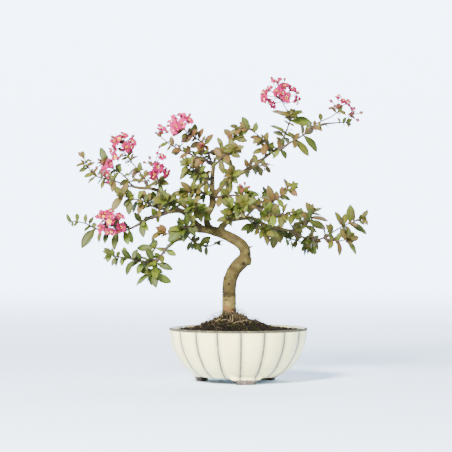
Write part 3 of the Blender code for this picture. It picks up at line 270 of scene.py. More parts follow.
# Leafy shoots: the twigs' radius at root and tip, how far the leaves turn from green to red, the
# twigs' routes from the limb outwards, and each leaf's tip and length and, where it isn't 0, how
# many times it was bent until it was clear of its neighbours.
SHOOTS = {
    "far_left": Shoot((1.5, 0.8), 0.34, [[(-93, -18, 220), (-101, -20, 217), (-114, -22, 213),
        (-122, -24, 209), (-129, -26, 204), (-137, -27, 200), (-146, -29, 196), (-155, -31, 196),
        (-165, -33, 196), (-178, -34, 197), (-188, -34, 201), (-196, -34, 206), (-206, -33, 208),
        (-216, -31, 208)]], [(-202, -44, 173, 27), (-181, -28, 178, 15), (-172, -44, 178, 16),
        (-160, -36, 172, 22), (-141, -40, 178, 18), (-136, -22, 175, 17), (-116, -38, 197, 18),
        (-115, -30, 186, 18, 14), (-122, -12, 208, 16), (-220, -36, 218, 11), (-223, -24, 209, 11, 7),
        (-208, -26, 219, 12), (-195, -42, 220, 12), (-185, -26, 219, 12), (-197, -42, 196, 12),
        (-190, -22, 190, 14), (-111, -34, 225, 17), (-153, -14, 209, 15, 1), (-173, -18, 211, 14, 1)]),
    "left_upper_twig": Shoot((1.4, 0.8), 0.45, [[(-91, -17, 221), (-98, -25, 225), (-105, -30, 226),
        (-111, -34, 228), (-118, -39, 233), (-128, -44, 236), (-138, -49, 237), (-148, -54, 241)]],
        [(-162, -62, 220, 21), (-150, -40, 228, 14), (-141, -56, 249, 15), (-127, -38, 248, 14),
        (-128, -50, 216, 17), (-103, -46, 237, 17), (-161, -60, 243, 13, 14), (-168, -46, 251, 18, 14),
        (-144, -58, 210, 18, 14), (-138, -36, 215, 17), (-115, -30, 246, 15), (-100, -40, 213, 15),
        (-90, -30, 235, 14)]),
    "upper_left_a": Shoot((1.3, 0.7), 0.3, [[(-135, 25, 253), (-142, 30, 258), (-146, 34, 264),
        (-152, 38, 270), (-160, 43, 276), (-168, 47, 279), (-174, 50, 286)]], [(-190, 58, 269, 20),
        (-183, 54, 307, 20), (-123, 40, 262, 22), (-133, 28, 283, 18), (-169, 60, 296, 14, 14),
        (-185, 40, 283, 14, 5), (-165, 50, 261, 14), (-139, 52, 274, 14), (-180, 62, 274, 12, 14),
        (-156, 56, 286, 15)]),
    "upper_left_b": Shoot((1.2, 0.6), 0.6, [[(-135, 25, 253), (-144, 20, 255), (-155, 14, 259),
        (-165, 8, 262), (-175, 3, 264), (-185, -1, 267), (-191, -4, 274), (-195, -6, 278), (-197, -7, 284),
        (-200, -8, 291)]], [(-210, -12, 280, 13), (-186, -2, 286, 11), (-179, 6, 251, 13),
        (-164, 2, 247, 16), (-156, 22, 244, 15), (-200, -8, 266, 14), (-208, -2, 273, 12),
        (-195, -8, 258, 13), (-173, -6, 275, 13), (-159, 2, 271, 13), (-203, -9, 300, 8),
        (-205, -14, 288, 10)]),
    "upper_left_c": Shoot((1.3, 0.7), 0.62, [[(-120, 21, 252), (-122, 32, 262), (-125, 40, 267),
        (-131, 47, 275), (-138, 54, 283), (-146, 60, 293), (-152, 64, 301)]], [(-133, 66, 297, 14),
        (-147, 70, 283, 15), (-162, 72, 291, 15), (-114, 40, 276, 15), (-117, 50, 261, 15),
        (-142, 58, 266, 15), (-130, 44, 287, 14), (-140, 58, 306, 13)]),
    "left_flower_stalk": Shoot((1.2, 0.8), 0.5, [[(-105, 18, 248), (-103, 10, 257), (-105, 4, 265),
        (-108, 0, 274), (-112, -3, 280)]], [(-90, 0, 257, 15), (-115, 14, 268, 15), (-89, 10, 270, 14),
        (-120, 2, 254, 16, 5), (-102, 2, 241, 14, 14)]),
    "top_fan_a": Shoot((1.4, 0.8), 0.75, [[(-33, 12, 282), (-37, 8, 290), (-39, 4, 299), (-44, -1, 308),
        (-50, -5, 313), (-56, -8, 317), (-63, -11, 321), (-70, -14, 327)]], [(-56, -8, 335, 17),
        (-46, -2, 330, 16), (-30, 4, 326, 16), (-44, -12, 341, 9, 9), (-88, -18, 317, 16),
        (-78, -4, 308, 15), (-29, 14, 304, 14), (-63, 4, 305, 16), (-74, -24, 314, 13),
        (-34, -12, 314, 14, 14)]),
    "top_fan_b": Shoot((1.4, 0.8), 0.62, [[(-33, 12, 281), (-40, 18, 288), (-47, 24, 292), (-57, 30, 294),
        (-65, 35, 298), (-73, 39, 301), (-82, 43, 306), (-91, 46, 311), (-102, 50, 320)]],
        [(-86, 52, 298, 17), (-78, 36, 292, 14), (-45, 36, 311, 16), (-66, 22, 272, 16), (-56, 12, 282, 15),
        (-49, 30, 276, 15), (-96, 54, 301, 15), (-103, 40, 307, 13), (-72, 56, 314, 15),
        (-86, 34, 318, 13)]),
    "top_fan_c": Shoot((1.4, 0.7), 0.62, [[(-33, 12, 283), (-29, 20, 291), (-25, 28, 300), (-19, 36, 306),
        (-12, 42, 311), (-7, 47, 318), (1, 51, 326)]], [(-20, 56, 333, 17), (-12, 44, 329, 15),
        (-28, 38, 320, 14), (-23, 40, 292, 14), (12, 44, 315, 18), (9, 58, 333, 15), (3, 46, 340, 13, 14),
        (-37, 30, 302, 14), (0, 54, 305, 16, 1), (-16, 24, 289, 13)]),
    "top_fan_d": Shoot((1.3, 0.7), 0.6, [[(-33, 12, 279), (-26, 4, 286), (-20, -4, 293), (-12, -12, 297),
        (-6, -19, 300)]], [(-8, -8, 280, 18), (-17, -2, 265, 16), (2, -24, 291, 18), (7, -26, 305, 16),
        (-7, -22, 315, 15, 14), (-22, -14, 307, 15), (-32, -8, 272, 14, 14), (-13, -20, 284, 14)]),
    "inner_upright": Shoot((1.5, 0.9), 0.45, [[(-34, 10, 261), (-42, 2, 266), (-50, -6, 270),
        (-57, -13, 275), (-65, -19, 281)]], [(-81, -18, 258, 19), (-60, -10, 253, 16), (-51, 2, 257, 14),
        (-73, -28, 269, 16), (-68, -24, 294, 15, 2), (-54, -12, 288, 16), (-42, -16, 280, 14),
        (-79, -14, 281, 14, 14)]),
    "crimson_bud_twig": Shoot((1.1, 0.7), 0.6, [[(-33, 12, 281), (-40, 2, 284), (-45, -8, 291),
        (-48, -14, 298)]], [(-55, -20, 298, 11), (-39, -18, 300, 11)]),
    "crossing_twig": Shoot((1.2, 0.6), 0.55, [[(35, 18, 292), (37, 8, 302), (36, 0, 310), (31, -8, 315),
        (24, -15, 321), (16, -21, 326), (7, -26, 329), (-2, -30, 327)]], [(5, -26, 343, 18),
        (-11, -34, 331, 15), (12, -34, 318, 11, 14), (15, -10, 318, 16), (31, -14, 292, 18),
        (14, -2, 296, 18), (23, -22, 336, 14), (38, -8, 324, 15), (2, -22, 318, 13, 13), (46, 4, 312, 15)]),
    "top_right": Shoot((1.5, 0.8), 0.42, [[(48, 18, 301), (54, 24, 306), (57, 27, 311), (59, 27, 316),
        (62, 27, 324), (65, 26, 332), (68, 24, 340), (69, 22, 347)]], [(41, 30, 356, 24), (39, 18, 336, 21),
        (98, 30, 338, 27), (85, 16, 355, 15), (56, 12, 355, 13, 10), (77, 32, 320, 15), (46, 36, 328, 19),
        (82, 34, 347, 14, 5), (59, 34, 343, 13), (49, 14, 319, 13)]),
    "far_upper_right": Shoot((1.5, 0.7), 0.5, [[(49, 18, 301), (54, 7, 302), (59, 1, 305), (66, 3, 310),
        (75, -3, 315), (84, -9, 320), (91, -14, 326), (98, -18, 333), (108, -22, 338), (118, -26, 342),
        (128, -30, 349)], [(91, -14, 326), (102, -10, 331), (112, -7, 335), (124, -4, 336), (133, -2, 337),
        (140, 0, 337)]], [(62, 0, 290, 17), (93, -2, 293, 24), (102, -14, 299, 25), (88, -26, 336, 14),
        (108, -22, 325, 13), (106, -12, 349, 13), (140, -28, 345, 10), (121, -36, 354, 10, 5),
        (119, 0, 330, 12), (138, 6, 329, 11), (148, -4, 343, 10, 3), (77, -16, 299, 16, 14),
        (57, -6, 317, 15), (44, 4, 288, 14, 14), (130, 8, 345, 11), (72, -12, 324, 14, 14)]),
    "front_right_twig": Shoot((1.7, 1.0), 0.4, [[(-33, 8, 240), (-25, -2, 240), (-16, -12, 241),
        (-7, -22, 242), (2, -31, 241), (10, -39, 243)]], [(-10, -20, 262, 21), (-13, -22, 227, 20),
        (26, -46, 242, 19), (8, -38, 225, 18), (15, -46, 257, 12, 20), (21, -54, 232, 15, 14),
        (-2, -40, 254, 15, 1), (-26, -14, 227, 17), (1, -32, 259, 13)]),
    "right_upper_twig": Shoot((1.6, 0.8), 0.58, [[(31, -21, 226), (39, -27, 232), (47, -30, 236),
        (55, -34, 241), (62, -38, 247), (68, -42, 251)]], [(37, -30, 258, 19), (58, -38, 264, 17),
        (76, -50, 257, 14), (84, -46, 242, 12, 14), (67, -30, 236, 14), (47, -22, 251, 16, 6),
        (27, -16, 241, 17), (40, -36, 218, 17, 14), (71, -38, 264, 12, 14), (57, -44, 225, 15)]),
    "right_front_twig": Shoot((1.5, 0.8), 0.36, [[(24, -19, 227), (31, -32, 222), (40, -44, 218),
        (50, -55, 216), (60, -65, 217), (70, -73, 216)]], [(41, -52, 232, 18), (61, -70, 231, 17),
        (55, -64, 200, 18), (80, -80, 209, 17), (30, -44, 202, 18, 14), (80, -80, 225, 13),
        (65, -78, 204, 15), (44, -56, 202, 17), (25, -52, 215, 15, 14), (52, -44, 230, 15)]),
    "right_low_twig": Shoot((1.5, 0.8), 0.35, [[(39, 18, 203), (50, 26, 196), (60, 34, 189), (71, 41, 185),
        (82, 47, 182), (94, 52, 177)]], [(56, 22, 180, 20), (66, 46, 176, 17), (89, 56, 163, 18),
        (99, 46, 165, 14), (110, 58, 161, 20, 14), (80, 54, 197, 16), (107, 62, 184, 16, 14),
        (39, 26, 175, 22, 14), (49, 40, 185, 16), (72, 32, 171, 15), (98, 50, 193, 14)]),
    "right_rising_twig": Shoot((1.3, 0.7), 0.45, [[(64, 15, 197), (73, 28, 197), (82, 39, 198),
        (89, 48, 204), (94, 55, 210), (96, 60, 218)]], [(96, 64, 233, 15), (114, 60, 228, 18, 14),
        (82, 56, 221, 15), (123, 62, 210, 23), (119, 52, 198, 22), (77, 44, 209, 16), (106, 44, 194, 16),
        (70, 34, 205, 15), (108, 70, 218, 14, 14)]),
    "far_right": Shoot((1.4, 0.7), 0.55, [[(78, 11, 191), (88, 5, 186), (98, -2, 184), (108, -9, 186),
        (117, -15, 191), (127, -21, 198), (138, -27, 204), (148, -32, 208), (157, -36, 211)],
        [(110, -10, 187), (120, -18, 184), (129, -26, 183), (138, -33, 185)]], [(124, -30, 222, 19),
        (138, -16, 219, 17), (145, -38, 224, 14), (160, -42, 206, 11), (166, -36, 223, 13),
        (165, -32, 193, 27), (157, -24, 188, 17), (145, -42, 179, 15), (148, -38, 169, 20, 14),
        (131, -22, 164, 17), (104, -2, 171, 15), (96, -6, 200, 17), (109, -18, 202, 16),
        (91, -10, 175, 14, 10), (152, -22, 220, 12, 14), (120, -6, 208, 15), (116, -30, 173, 14)]),
    "right_inner_twig": Shoot((1.4, 0.8), 0.34, [[(15, 11, 213), (18, 2, 208), (22, -8, 202),
        (27, -17, 199), (33, -25, 196)]], [(2, -8, 196, 17), (21, -24, 191, 13), (38, -30, 177, 20),
        (56, -34, 184, 21, 14), (43, -30, 202, 15, 3), (31, -12, 210, 14), (11, 2, 191, 15)]),
    "centre_left_twig": Shoot((1.5, 0.8), 0.42, [[(-34, 8, 242), (-42, -3, 244), (-50, -13, 246),
        (-59, -22, 247), (-67, -30, 245)]], [(-41, -10, 257, 18), (-65, -16, 237, 14), (-74, -34, 259, 19),
        (-76, -40, 231, 18), (-53, -24, 232, 17), (-84, -38, 246, 17, 14), (-57, -30, 261, 15),
        (-46, -2, 232, 14, 5)]),
    "centre_drop_twig": Shoot((1.3, 0.8), 0.36, [[(-16, -5, 207), (-13, -17, 213), (-12, -28, 218),
        (-10, -38, 224)]], [(-24, -30, 222, 14), (-1, -44, 228, 15), (-21, -40, 237, 15),
        (-3, -34, 213, 14), (-28, -20, 209, 15), (-10, -50, 239, 15, 14)]),
    "pale_arch_twig": Shoot((1.6, 1.0), 0.2, [[(-52, -6, 202), (-59, -18, 203), (-65, -29, 202),
        (-71, -38, 199)]], [(-90, -46, 183, 27), (-70, -40, 182, 18), (-55, -28, 219, 17),
        (-67, -38, 219, 17), (-86, -50, 205, 17, 14), (-58, -34, 190, 14, 14)]),
    "inner_left_twig": Shoot((1.3, 0.8), 0.5, [[(-81, -15, 223), (-86, -8, 231), (-91, 0, 238),
        (-97, -14, 242)]], []),
    "low_left": Shoot((1.5, 0.8), 0.14, [[(-85, -26, 181), (-93, -30, 173), (-99, -34, 165),
        (-104, -37, 158), (-106, -39, 150), (-108, -41, 142)], [(-103, -36, 159), (-113, -42, 157),
        (-122, -48, 157), (-131, -52, 159), (-142, -54, 162), (-152, -55, 163), (-160, -56, 165)],
        [(-94, -31, 172), (-101, -22, 174), (-110, -14, 174)]], [(-84, -44, 147, 20), (-83, -36, 128, 22),
        (-126, -46, 125, 26, 10), (-118, -44, 174, 19), (-125, -34, 147, 18), (-148, -62, 172, 18),
        (-171, -64, 175, 14), (-177, -50, 162, 13, 14), (-146, -48, 176, 14), (-161, -60, 152, 12),
        (-158, -48, 148, 13), (-143, -56, 140, 20), (-129, -50, 141, 17), (-135, -40, 167, 17),
        (-135, -6, 174, 20), (-117, -10, 184, 13, 14), (-80, -32, 165, 15), (-96, -46, 156, 15),
        (-117, -36, 137, 15, 10), (-114, -22, 164, 13)]),
    "low_left_bud_twig": Shoot((1.1, 0.7), 0.6, [[(-75, -17, 185), (-83, -24, 190), (-90, -31, 192),
        (-98, -36, 195)]], [(-112, -40, 186, 19), (-98, -38, 204, 13), (-88, -26, 202, 13),
        (-84, -40, 177, 15)]),
    "low_centre": Shoot((1.2, 0.7), 0.38, [[(-67, -5, 191), (-62, 4, 185), (-56, 8, 180), (-47, 14, 178),
        (-38, 19, 176), (-29, 23, 179)]], [(-51, 2, 171, 14), (-67, 6, 170, 13), (-36, 12, 188, 17),
        (-19, 26, 184, 13), (-42, 20, 163, 12), (-51, 16, 189, 13)]),
    "back_left": Shoot((1.6, 0.8), 0.42, [[(-80, 8, 236), (-87, 28, 239), (-95, 47, 238), (-104, 64, 237),
        (-114, 80, 239)]], [(-131, 92, 243, 17), (-118, 88, 254, 17, 14), (-106, 84, 223, 16),
        (-119, 96, 225, 16, 14), (-96, 70, 253, 17), (-90, 56, 226, 16), (-108, 60, 250, 15),
        (-79, 40, 250, 15)]),
    "back_centre": Shoot((1.6, 0.8), 0.45, [[(-34, 9, 249), (-38, 30, 255), (-44, 50, 261), (-49, 68, 266),
        (-55, 86, 272)]], [(-70, 96, 275, 17), (-54, 98, 289, 17, 4), (-40, 90, 275, 16),
        (-63, 84, 260, 16), (-40, 66, 248, 17), (-56, 54, 250, 16), (-35, 56, 269, 15),
        (-50, 50, 274, 15, 1)]),
    "back_right": Shoot((1.6, 0.8), 0.38, [[(9, 6, 213), (16, 27, 221), (24, 47, 228), (32, 66, 234),
        (39, 84, 240)]], [(55, 92, 246, 17), (41, 96, 256, 17, 14), (27, 80, 248, 16), (46, 78, 227, 16),
        (16, 60, 237, 16), (32, 54, 218, 16), (10, 40, 226, 15), (46, 98, 235, 14, 14)]),
    "back_upper_right": Shoot((1.4, 0.8), 0.5, [[(2, 15, 270), (8, 34, 276), (16, 51, 281), (25, 66, 283),
        (35, 80, 283)]], [(50, 88, 284, 17), (38, 90, 298, 16, 13), (21, 74, 299, 16), (32, 76, 269, 16),
        (11, 58, 266, 16), (10, 48, 292, 15), (25, 58, 270, 14)]),
    "front_centre": Shoot((1.5, 0.8), 0.34, [[(-41, 4, 217), (-44, -17, 219), (-49, -37, 222),
        (-54, -56, 224), (-59, -74, 228)]], [(-73, -84, 233, 17), (-61, -80, 215, 17), (-49, -76, 240, 17),
        (-41, -60, 230, 16), (-35, -30, 210, 15), (-63, -50, 229, 16), (-47, -50, 207, 15),
        (-33, -36, 225, 15)]),
    "front_right": Shoot((1.5, 0.8), 0.36, [[(-3, -10, 218), (-1, -32, 224), (3, -52, 228), (7, -70, 231)]],
        [(21, -78, 236, 17), (8, -82, 245, 16, 14), (-3, -62, 239, 16), (14, -64, 220, 16),
        (-13, -46, 223, 15, 23), (10, -46, 213, 15, 14), (17, -40, 228, 14, 14)]),
    "front_upper": Shoot((1.4, 0.8), 0.45, [[(-17, 12, 259), (-16, -8, 262), (-12, -26, 265),
        (-8, -42, 269)]], [(6, -52, 272, 17), (-7, -54, 284, 16, 14), (-22, -40, 275, 15),
        (-1, -40, 257, 16), (-25, -18, 253, 15), (2, -22, 267, 15)]),
    "front_left": Shoot((1.4, 0.8), 0.34, [[(-75, -14, 223), (-80, -32, 228), (-86, -50, 232),
        (-93, -67, 234)]], [(-108, -76, 236, 17), (-95, -78, 248, 16, 14), (-89, -72, 220, 16),
        (-80, -56, 243, 16), (-101, -56, 225, 16), (-70, -40, 234, 15, 3), (-94, -44, 245, 14, 12)]),
}

# Flower heads: the route of each one's stalk, and the middles of its florets and buds.
HEADS = {
    "head_left": Head([(-156, -31, 196), (-159, -39, 201), (-163, -46, 206)], [(-163, -60, 209),
        (-175, -53, 215), (-164, -52, 220), (-152, -51, 214), (-151, -50, 201), (-162, -55, 196),
        (-175, -53, 200), (-170, -34, 209)], [(-181, -46, 214), (-173, -44, 220)]),
    "head_upper_left": Head([(-152, 64, 301), (-153, 62, 308), (-154, 60, 312)], [(-162, 54, 315),
        (-153, 58, 322), (-142, 56, 314), (-165, 62, 305), (-148, 48, 307), (-159, 72, 317)],
        [(-167, 62, 321), (-140, 62, 322), (-142, 58, 301)]),
    "head_left_spray": Head([(-174, 50, 286), (-176, 44, 288), (-177, 38, 286)], [(-164, 38, 293),
        (-175, 34, 276), (-168, 34, 264)], [(-187, 42, 280), (-184, 44, 290)]),
    "head_inner_left": Head([(-112, -3, 280), (-111, -7, 283), (-108, -10, 284)], [(-100, -14, 292),
        (-104, -18, 279), (-110, -14, 268), (-94, -10, 272)], [(-122, -6, 285), (-115, -4, 291),
        (-102, -8, 305)]),
    "head_top_left": Head([(-70, -14, 327), (-73, -16, 330), (-74, -17, 333)], [(-84, -18, 338),
        (-82, -24, 327), (-74, -16, 344), (-65, -20, 338), (-72, -32, 333)], [(-91, -14, 332),
        (-63, -14, 346)]),
    "head_back_left": Head([(-102, 50, 320), (-102, 50, 324)], [(-102, 50, 331)], [(-109, 54, 326),
        (-94, 48, 327)]),
    "head_top": Head([(69, 22, 347), (64, 21, 354), (59, 20, 362), (55, 19, 370)], [(51, 18, 391),
        (60, 14, 384), (69, 22, 381), (40, 20, 381), (36, 14, 368), (51, 8, 377), (76, 16, 367),
        (62, 6, 369), (47, 24, 363)], [(44, 22, 396), (31, 18, 375), (78, 20, 377), (61, 24, 395)]),
    "head_right": Head([(128, -30, 349), (128, -31, 355)], [(128, -31, 367), (139, -34, 360)],
        [(117, -38, 353), (119, -28, 363)]),
    "head_far_right": Head([(140, 0, 337), (144, 1, 344), (147, 2, 348)], [(148, 2, 355)], [(160, 4, 350),
        (155, -2, 340)]),
    "bud_cluster": Head([(10, -39, 243), (8, -40, 247)], [], [(2, -42, 254), (8, -40, 257),
        (13, -44, 252)]),
    "crimson_bud": Head([(-48, -14, 298), (-48, -15, 304)], [], [(-48, -16, 308)]),
}


# Meshes.

class Draft:
    """Corners, faces and values at the corners of a mesh in the making."""

    def __init__(self):
        self.corners = []
        self.faces = []
        self.values = {}

    def add(self, shape, **values):
        corners, faces = shape
        start = len(self.corners)
        self.corners += corners
        self.faces += [[start + i for i in face] for face in faces]
        for label, value in values.items():
            row = value if isinstance(value, list) else [value] * len(corners)
            self.values.setdefault(label, []).extend(row)

    def mesh(self, name):
        made = bpy.data.meshes.new(name)
        made.from_pydata([tuple(c) for c in self.corners], [], self.faces)
        for label, row in self.values.items():
            store(made, label, row)
        made.update()
        return made


def store(mesh, label, row):
    """Keep a value or vector for each corner of a mesh."""
    kind, field = {int: ("INT", "value"), float: ("FLOAT", "value")}.get(
        type(row[0]), ("FLOAT_VECTOR", "vector"))
    flat = row if field == "value" else [number for vector in row for number in vector]
    mesh.attributes.new(label, kind, "POINT").data.foreach_set(field, flat)


def new_object(name, mesh):
    made = bpy.data.objects.new(name, mesh)
    bpy.context.scene.collection.objects.link(made)
    return made


def apply_modifiers(thing):
    bpy.context.view_layer.update()
    graph = bpy.context.evaluated_depsgraph_get()
    plain_mesh = bpy.data.meshes.new_from_object(thing.evaluated_get(graph))
    thing.modifiers.clear()
    thing.data = plain_mesh
    return thing


def finish_piece(thing, material, slot, *nodes, smooth=True):
    """Move a piece to where the frame's pot stands, dress it and hang it on the body."""
    mesh = thing.data
    mesh.transform(Matrix.Translation(AXIS))
    mesh.materials.clear()
    mesh.materials.append(material)
    mesh.polygons.foreach_set("use_smooth", [smooth] * len(mesh.polygons))
    mesh.update()
    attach(thing, "root")
    if nodes:
        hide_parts(*nodes)


def metres(point):
    return Vector(point[:3]) * MM


def upright(height):
    return Vector((0.0, 0.0, height))


def outward(angle):
    """The level direction at an angle."""
    return Vector((math.cos(angle), math.sin(angle), 0.0))


def stray(chance, size=1.0):
    """A vector by chance, with three draws."""
    return Vector([chance.uniform(-size, size) for k in range(3)])


def blend(low, high, share):
    return low + (high - low) * share


def ramp(value, low, high):
    """0 below low, 1 above high and an eased step between."""
    share = min(max((value - low) / (high - low), 0.0), 1.0)
    return share * share * (3.0 - 2.0 * share)


def cloud(x, y, z, scale):
    """Soft noise about 0, at a scale of its own."""
    return noise.noise(Vector((x, y, z)) * scale)


def lookup(table, value):
    """The height in a table of rising values, by straight steps."""
    for (a, low), (b, high) in zip(table, table[1:]):
        if value <= b:
            return blend(low, high, max(value - a, 0.0) / (b - a))
    return table[-1][1]


def ring_faces(rings, steps, inward=False):
    """Quads between rings of corners."""
    faces = []
    for i in range(rings - 1):
        for k in range(steps):
            a, b = i * steps + k, i * steps + (k + 1) % steps
            faces.append((a, a + steps, b + steps, b) if inward else (a, b, b + steps, a + steps))
    return faces


def tube_faces(rings, steps):
    """Quads between rings, and a lid on the first and the last."""
    first, last = reversed(range(steps)), range((rings - 1) * steps, rings * steps)
    return [*ring_faces(rings, steps), tuple(first), tuple(last)]


def sweep(points, radii, sides, ribs=0, rib_depth=0.0):
    """A closed round tube through points; ribs pull its wall in between them."""
    corners, side = [], None
    last = len(points) - 1
    for i, place in enumerate(points):
        ahead = (points[min(i + 1, last)] - points[max(i - 1, 0)]).normalized()
        side = side - ahead * side.dot(ahead) if side else ahead.orthogonal()
        side.normalize()
        other = ahead.cross(side)
        for k in range(sides):
            turn = math.tau * k / sides
            radius = radii[i] * (1.0 - rib_depth * (0.5 - 0.5 * math.cos(ribs * turn)))
            corners.append(place + radius * (math.cos(turn) * side + math.sin(turn) * other))
    return corners, tube_faces(len(points), sides)


def eased(row):
    """A row with each inner entry drawn towards its neighbours."""
    return [0.25 * a + 0.5 * b + 0.25 * c for a, b, c in zip(row, row[1:], row[2:])]


def flowing(points, radii, step, rounds):
    """A route in short steps with its corners eased, and the radius at each step."""
    places, widths = [], []
    for i in range(len(points) - 1):
        count = max(1, round((points[i + 1] - points[i]).length / step))
        for k in range(count):
            places.append(points[i].lerp(points[i + 1], k / count))
            widths.append(blend(radii[i], radii[i + 1], k / count))
    places.append(points[-1].copy())
    widths.append(radii[-1])
    for turn in range(rounds):
        places[1:-1] = eased(places)
        widths[1:-1] = eased(widths)
    return places, widths


def facing(along, normal):
    """The turn that brings Y to along and Z towards normal, as Euler angles."""
    side = along.cross(normal).normalized()
    up = side.cross(along)
    return Matrix((side, along, up)).transposed().to_euler()


# Node trees.

def arithmetic(operation, swapped=False):
    """A method that adds a math node."""
    def work(value, *others):
        return calc(value.tree, operation, *((*others, value) if swapped else (value, *others)))
    return work


class Value:
    """A number, vector or colour that nodes work out; arithmetic on it adds math nodes."""

    __add__ = __radd__ = arithmetic("ADD")
    __sub__, __rsub__ = arithmetic("SUBTRACT"), arithmetic("SUBTRACT", swapped=True)
    __mul__ = __rmul__ = arithmetic("MULTIPLY")
    __truediv__, __rtruediv__ = arithmetic("DIVIDE"), arithmetic("DIVIDE", swapped=True)
    __pow__ = arithmetic("POWER")
    __lt__ = arithmetic("LESS_THAN")
    __abs__ = arithmetic("ABSOLUTE")
    root = arithmetic("SQRT")
    sine = arithmetic("SINE")
    most = arithmetic("MAXIMUM")
    least = arithmetic("MINIMUM")
    to_and_fro = arithmetic("PINGPONG")
    angle_from = arithmetic("ARCTAN2")

    def __init__(self, tree, socket):
        self.tree = tree
        self.socket = socket

    def step(self, low, high, easing="SMOOTHSTEP"):
        """0 at low and 1 at high; low may be the larger."""
        return out(self.tree, "ShaderNodeMapRange", {"Value": self, "From Min": low, "From Max": high},
                   interpolation_type=easing)


def feed(tree, target, value):
    """Link an input to a value, or set it to a plain number, word or colour."""
    if isinstance(value, Value):
        tree.links.new(value.socket, target)
    elif target.type == "RGBA":
        target.default_value = (*value[:3], 1.0)
    else:
        target.default_value = value


def put(tree, kind, feeds=None, **settings):
    """Add a node with its settings, and feed its inputs."""
    made = tree.nodes.new(kind)
    for label, value in settings.items():
        setattr(made, label, value)
    for label, value in (feeds or {}).items():
        feed(tree, made.inputs[label], value)
    return made


def values_of(tree, node):
    """A node's outputs by name."""
    return {socket.name: Value(tree, socket) for socket in node.outputs}


def out(tree, kind, feeds=None, output=0, **settings):
    """Add a node and take one of its outputs."""
    return Value(tree, put(tree, kind, feeds, **settings).outputs[output])


def calc(tree, operation, *values):
    return out(tree, "ShaderNodeMath", dict(enumerate(values)), operation=operation)


def split(tree, vector):
    """The three parts of a vector."""
    return values_of(tree, put(tree, "ShaderNodeSeparateXYZ", {"Vector": vector})).values()


def mix(tree, share, low, high):
    """A colour between two others."""
    return out(tree, "ShaderNodeMix", {0: share, 6: low, 7: high}, 2, data_type="RGBA")


def new_tree(name, kind, inputs, outputs):
    """A node tree with sockets that are listed by their kind; gives its input values and its end."""
    tree = bpy.data.node_groups.new(name, kind)
    for side, sockets in (("INPUT", inputs), ("OUTPUT", outputs)):
        for socket, labels in sockets.items():
            for label in labels:
                tree.interface.new_socket(label, in_out=side, socket_type="NodeSocket" + socket)
    return tree, values_of(tree, tree.nodes.new("NodeGroupInput")), tree.nodes.new("NodeGroupOutput")


def close_tree(tree, end, **values):
    """Feed a tree's outputs."""
    for label, value in values.items():
        feed(tree, end.inputs[label.replace("_", " ")], value)
    return tree


def found_tree(name, build):
    return bpy.data.node_groups.get(name) or build(name)


# Geometry node trees.

def geometry_tree(name, **inputs):
    """A geometry tree with a geometry input and output, a material and further inputs."""
    inputs = {"Geometry": ["Geometry"], **inputs, "Material": ["Material"]}
    return new_tree(name, "GeometryNodeTree", inputs, {"Geometry": ["Geometry"]})


def end_geometry(tree, given, end, geometry):
    """Close a tree with plain geometry that has its material."""
    real = out(tree, "GeometryNodeRealizeInstances", {"Geometry": geometry})
    dressed = out(tree, "GeometryNodeSetMaterial", {"Geometry": real, "Material": given["Material"]})
    return close_tree(tree, end, Geometry=dressed)


def named_value(tree, label, kind="FLOAT"):
    """An attribute of the geometry, by name."""
    return out(tree, "GeometryNodeInputNamedAttribute", {"Name": label}, "Attribute", data_type=kind)


def kept_value(tree, geometry, label, value):
    """The geometry with a value stored at its corners."""
    return out(tree, "GeometryNodeStoreNamedAttribute", {"Geometry": geometry, "Name": label, "Value": value},
               data_type="FLOAT", domain="POINT")


def copies(tree, points, blanks, feeds):
    """The blanks of a collection, picked by index and set on points."""
    bits = out(tree, "GeometryNodeCollectionInfo", {
        "Collection": blanks, "Separate Children": True, "Reset Children": True})
    return out(tree, "GeometryNodeInstanceOnPoints", {
        "Points": points, "Instance": bits, "Pick Instance": True, **feeds})


def run_tree(thing, tree, **values):
    """Set a tree's inputs on an object, by socket identifier, and make the result its mesh."""
    modifier = thing.modifiers.new(tree.name, "NODES")
    modifier.node_group = tree
    for socket in tree.interface.items_tree:
        label = socket.name.lower().replace(" ", "_")
        if socket.in_out == "INPUT" and label in values:
            modifier[socket.identifier] = values[label]
    return apply_modifiers(thing)


def lobed_wall_tree(name):
    """Draws a turned wall in along its grooves, and stores how far each place is from a groove and
    from the rim's edge, in millimetres, and whether it faces the axis."""
    tree, given, end = geometry_tree(name, Float=[
        "Lobes", "Groove Depth", "Turn", "Foot Height", "Full Height", "Rim Radius", "Rim Height"])
    x, y, z = split(tree, out(tree, "GeometryNodeInputPosition"))
    radius = (x * x + y * y).root()
    angle = y.angle_from(x) - given["Turn"]
    crown = abs((angle * given["Lobes"] * 0.5).sine()) ** 0.8
    off_axis = (radius / 0.08).least(1.0)
    fade = z.step(given["Foot Height"], given["Full Height"], "LINEAR") * (off_axis * off_axis)
    draw_in = (1.0 - crown) * given["Groove Depth"] * fade
    scale = 1.0 - draw_in / radius.most(0.001)
    moved = out(tree, "ShaderNodeCombineXYZ", {"X": x * scale, "Y": y * scale, "Z": z})
    off_groove = angle.to_and_fro(math.tau / given["Lobes"] * 0.5) * radius
    off_edge = radius + draw_in - given["Rim Radius"]
    up = z - given["Rim Height"]
    off_rim = (off_edge * off_edge + up * up).root()
    shape = out(tree, "GeometryNodeSetPosition", {"Geometry": given["Geometry"], "Position": moved})
    normal_x, normal_y, normal_z = split(tree, out(tree, "GeometryNodeInputNormal"))
    shape = kept_value(tree, shape, "groove", off_groove * 1000.0)
    shape = kept_value(tree, shape, "rim", off_rim * 1000.0)
    shape = kept_value(tree, shape, "inside", x * normal_x + y * normal_y < -0.01)
    return end_geometry(tree, given, end, shape)


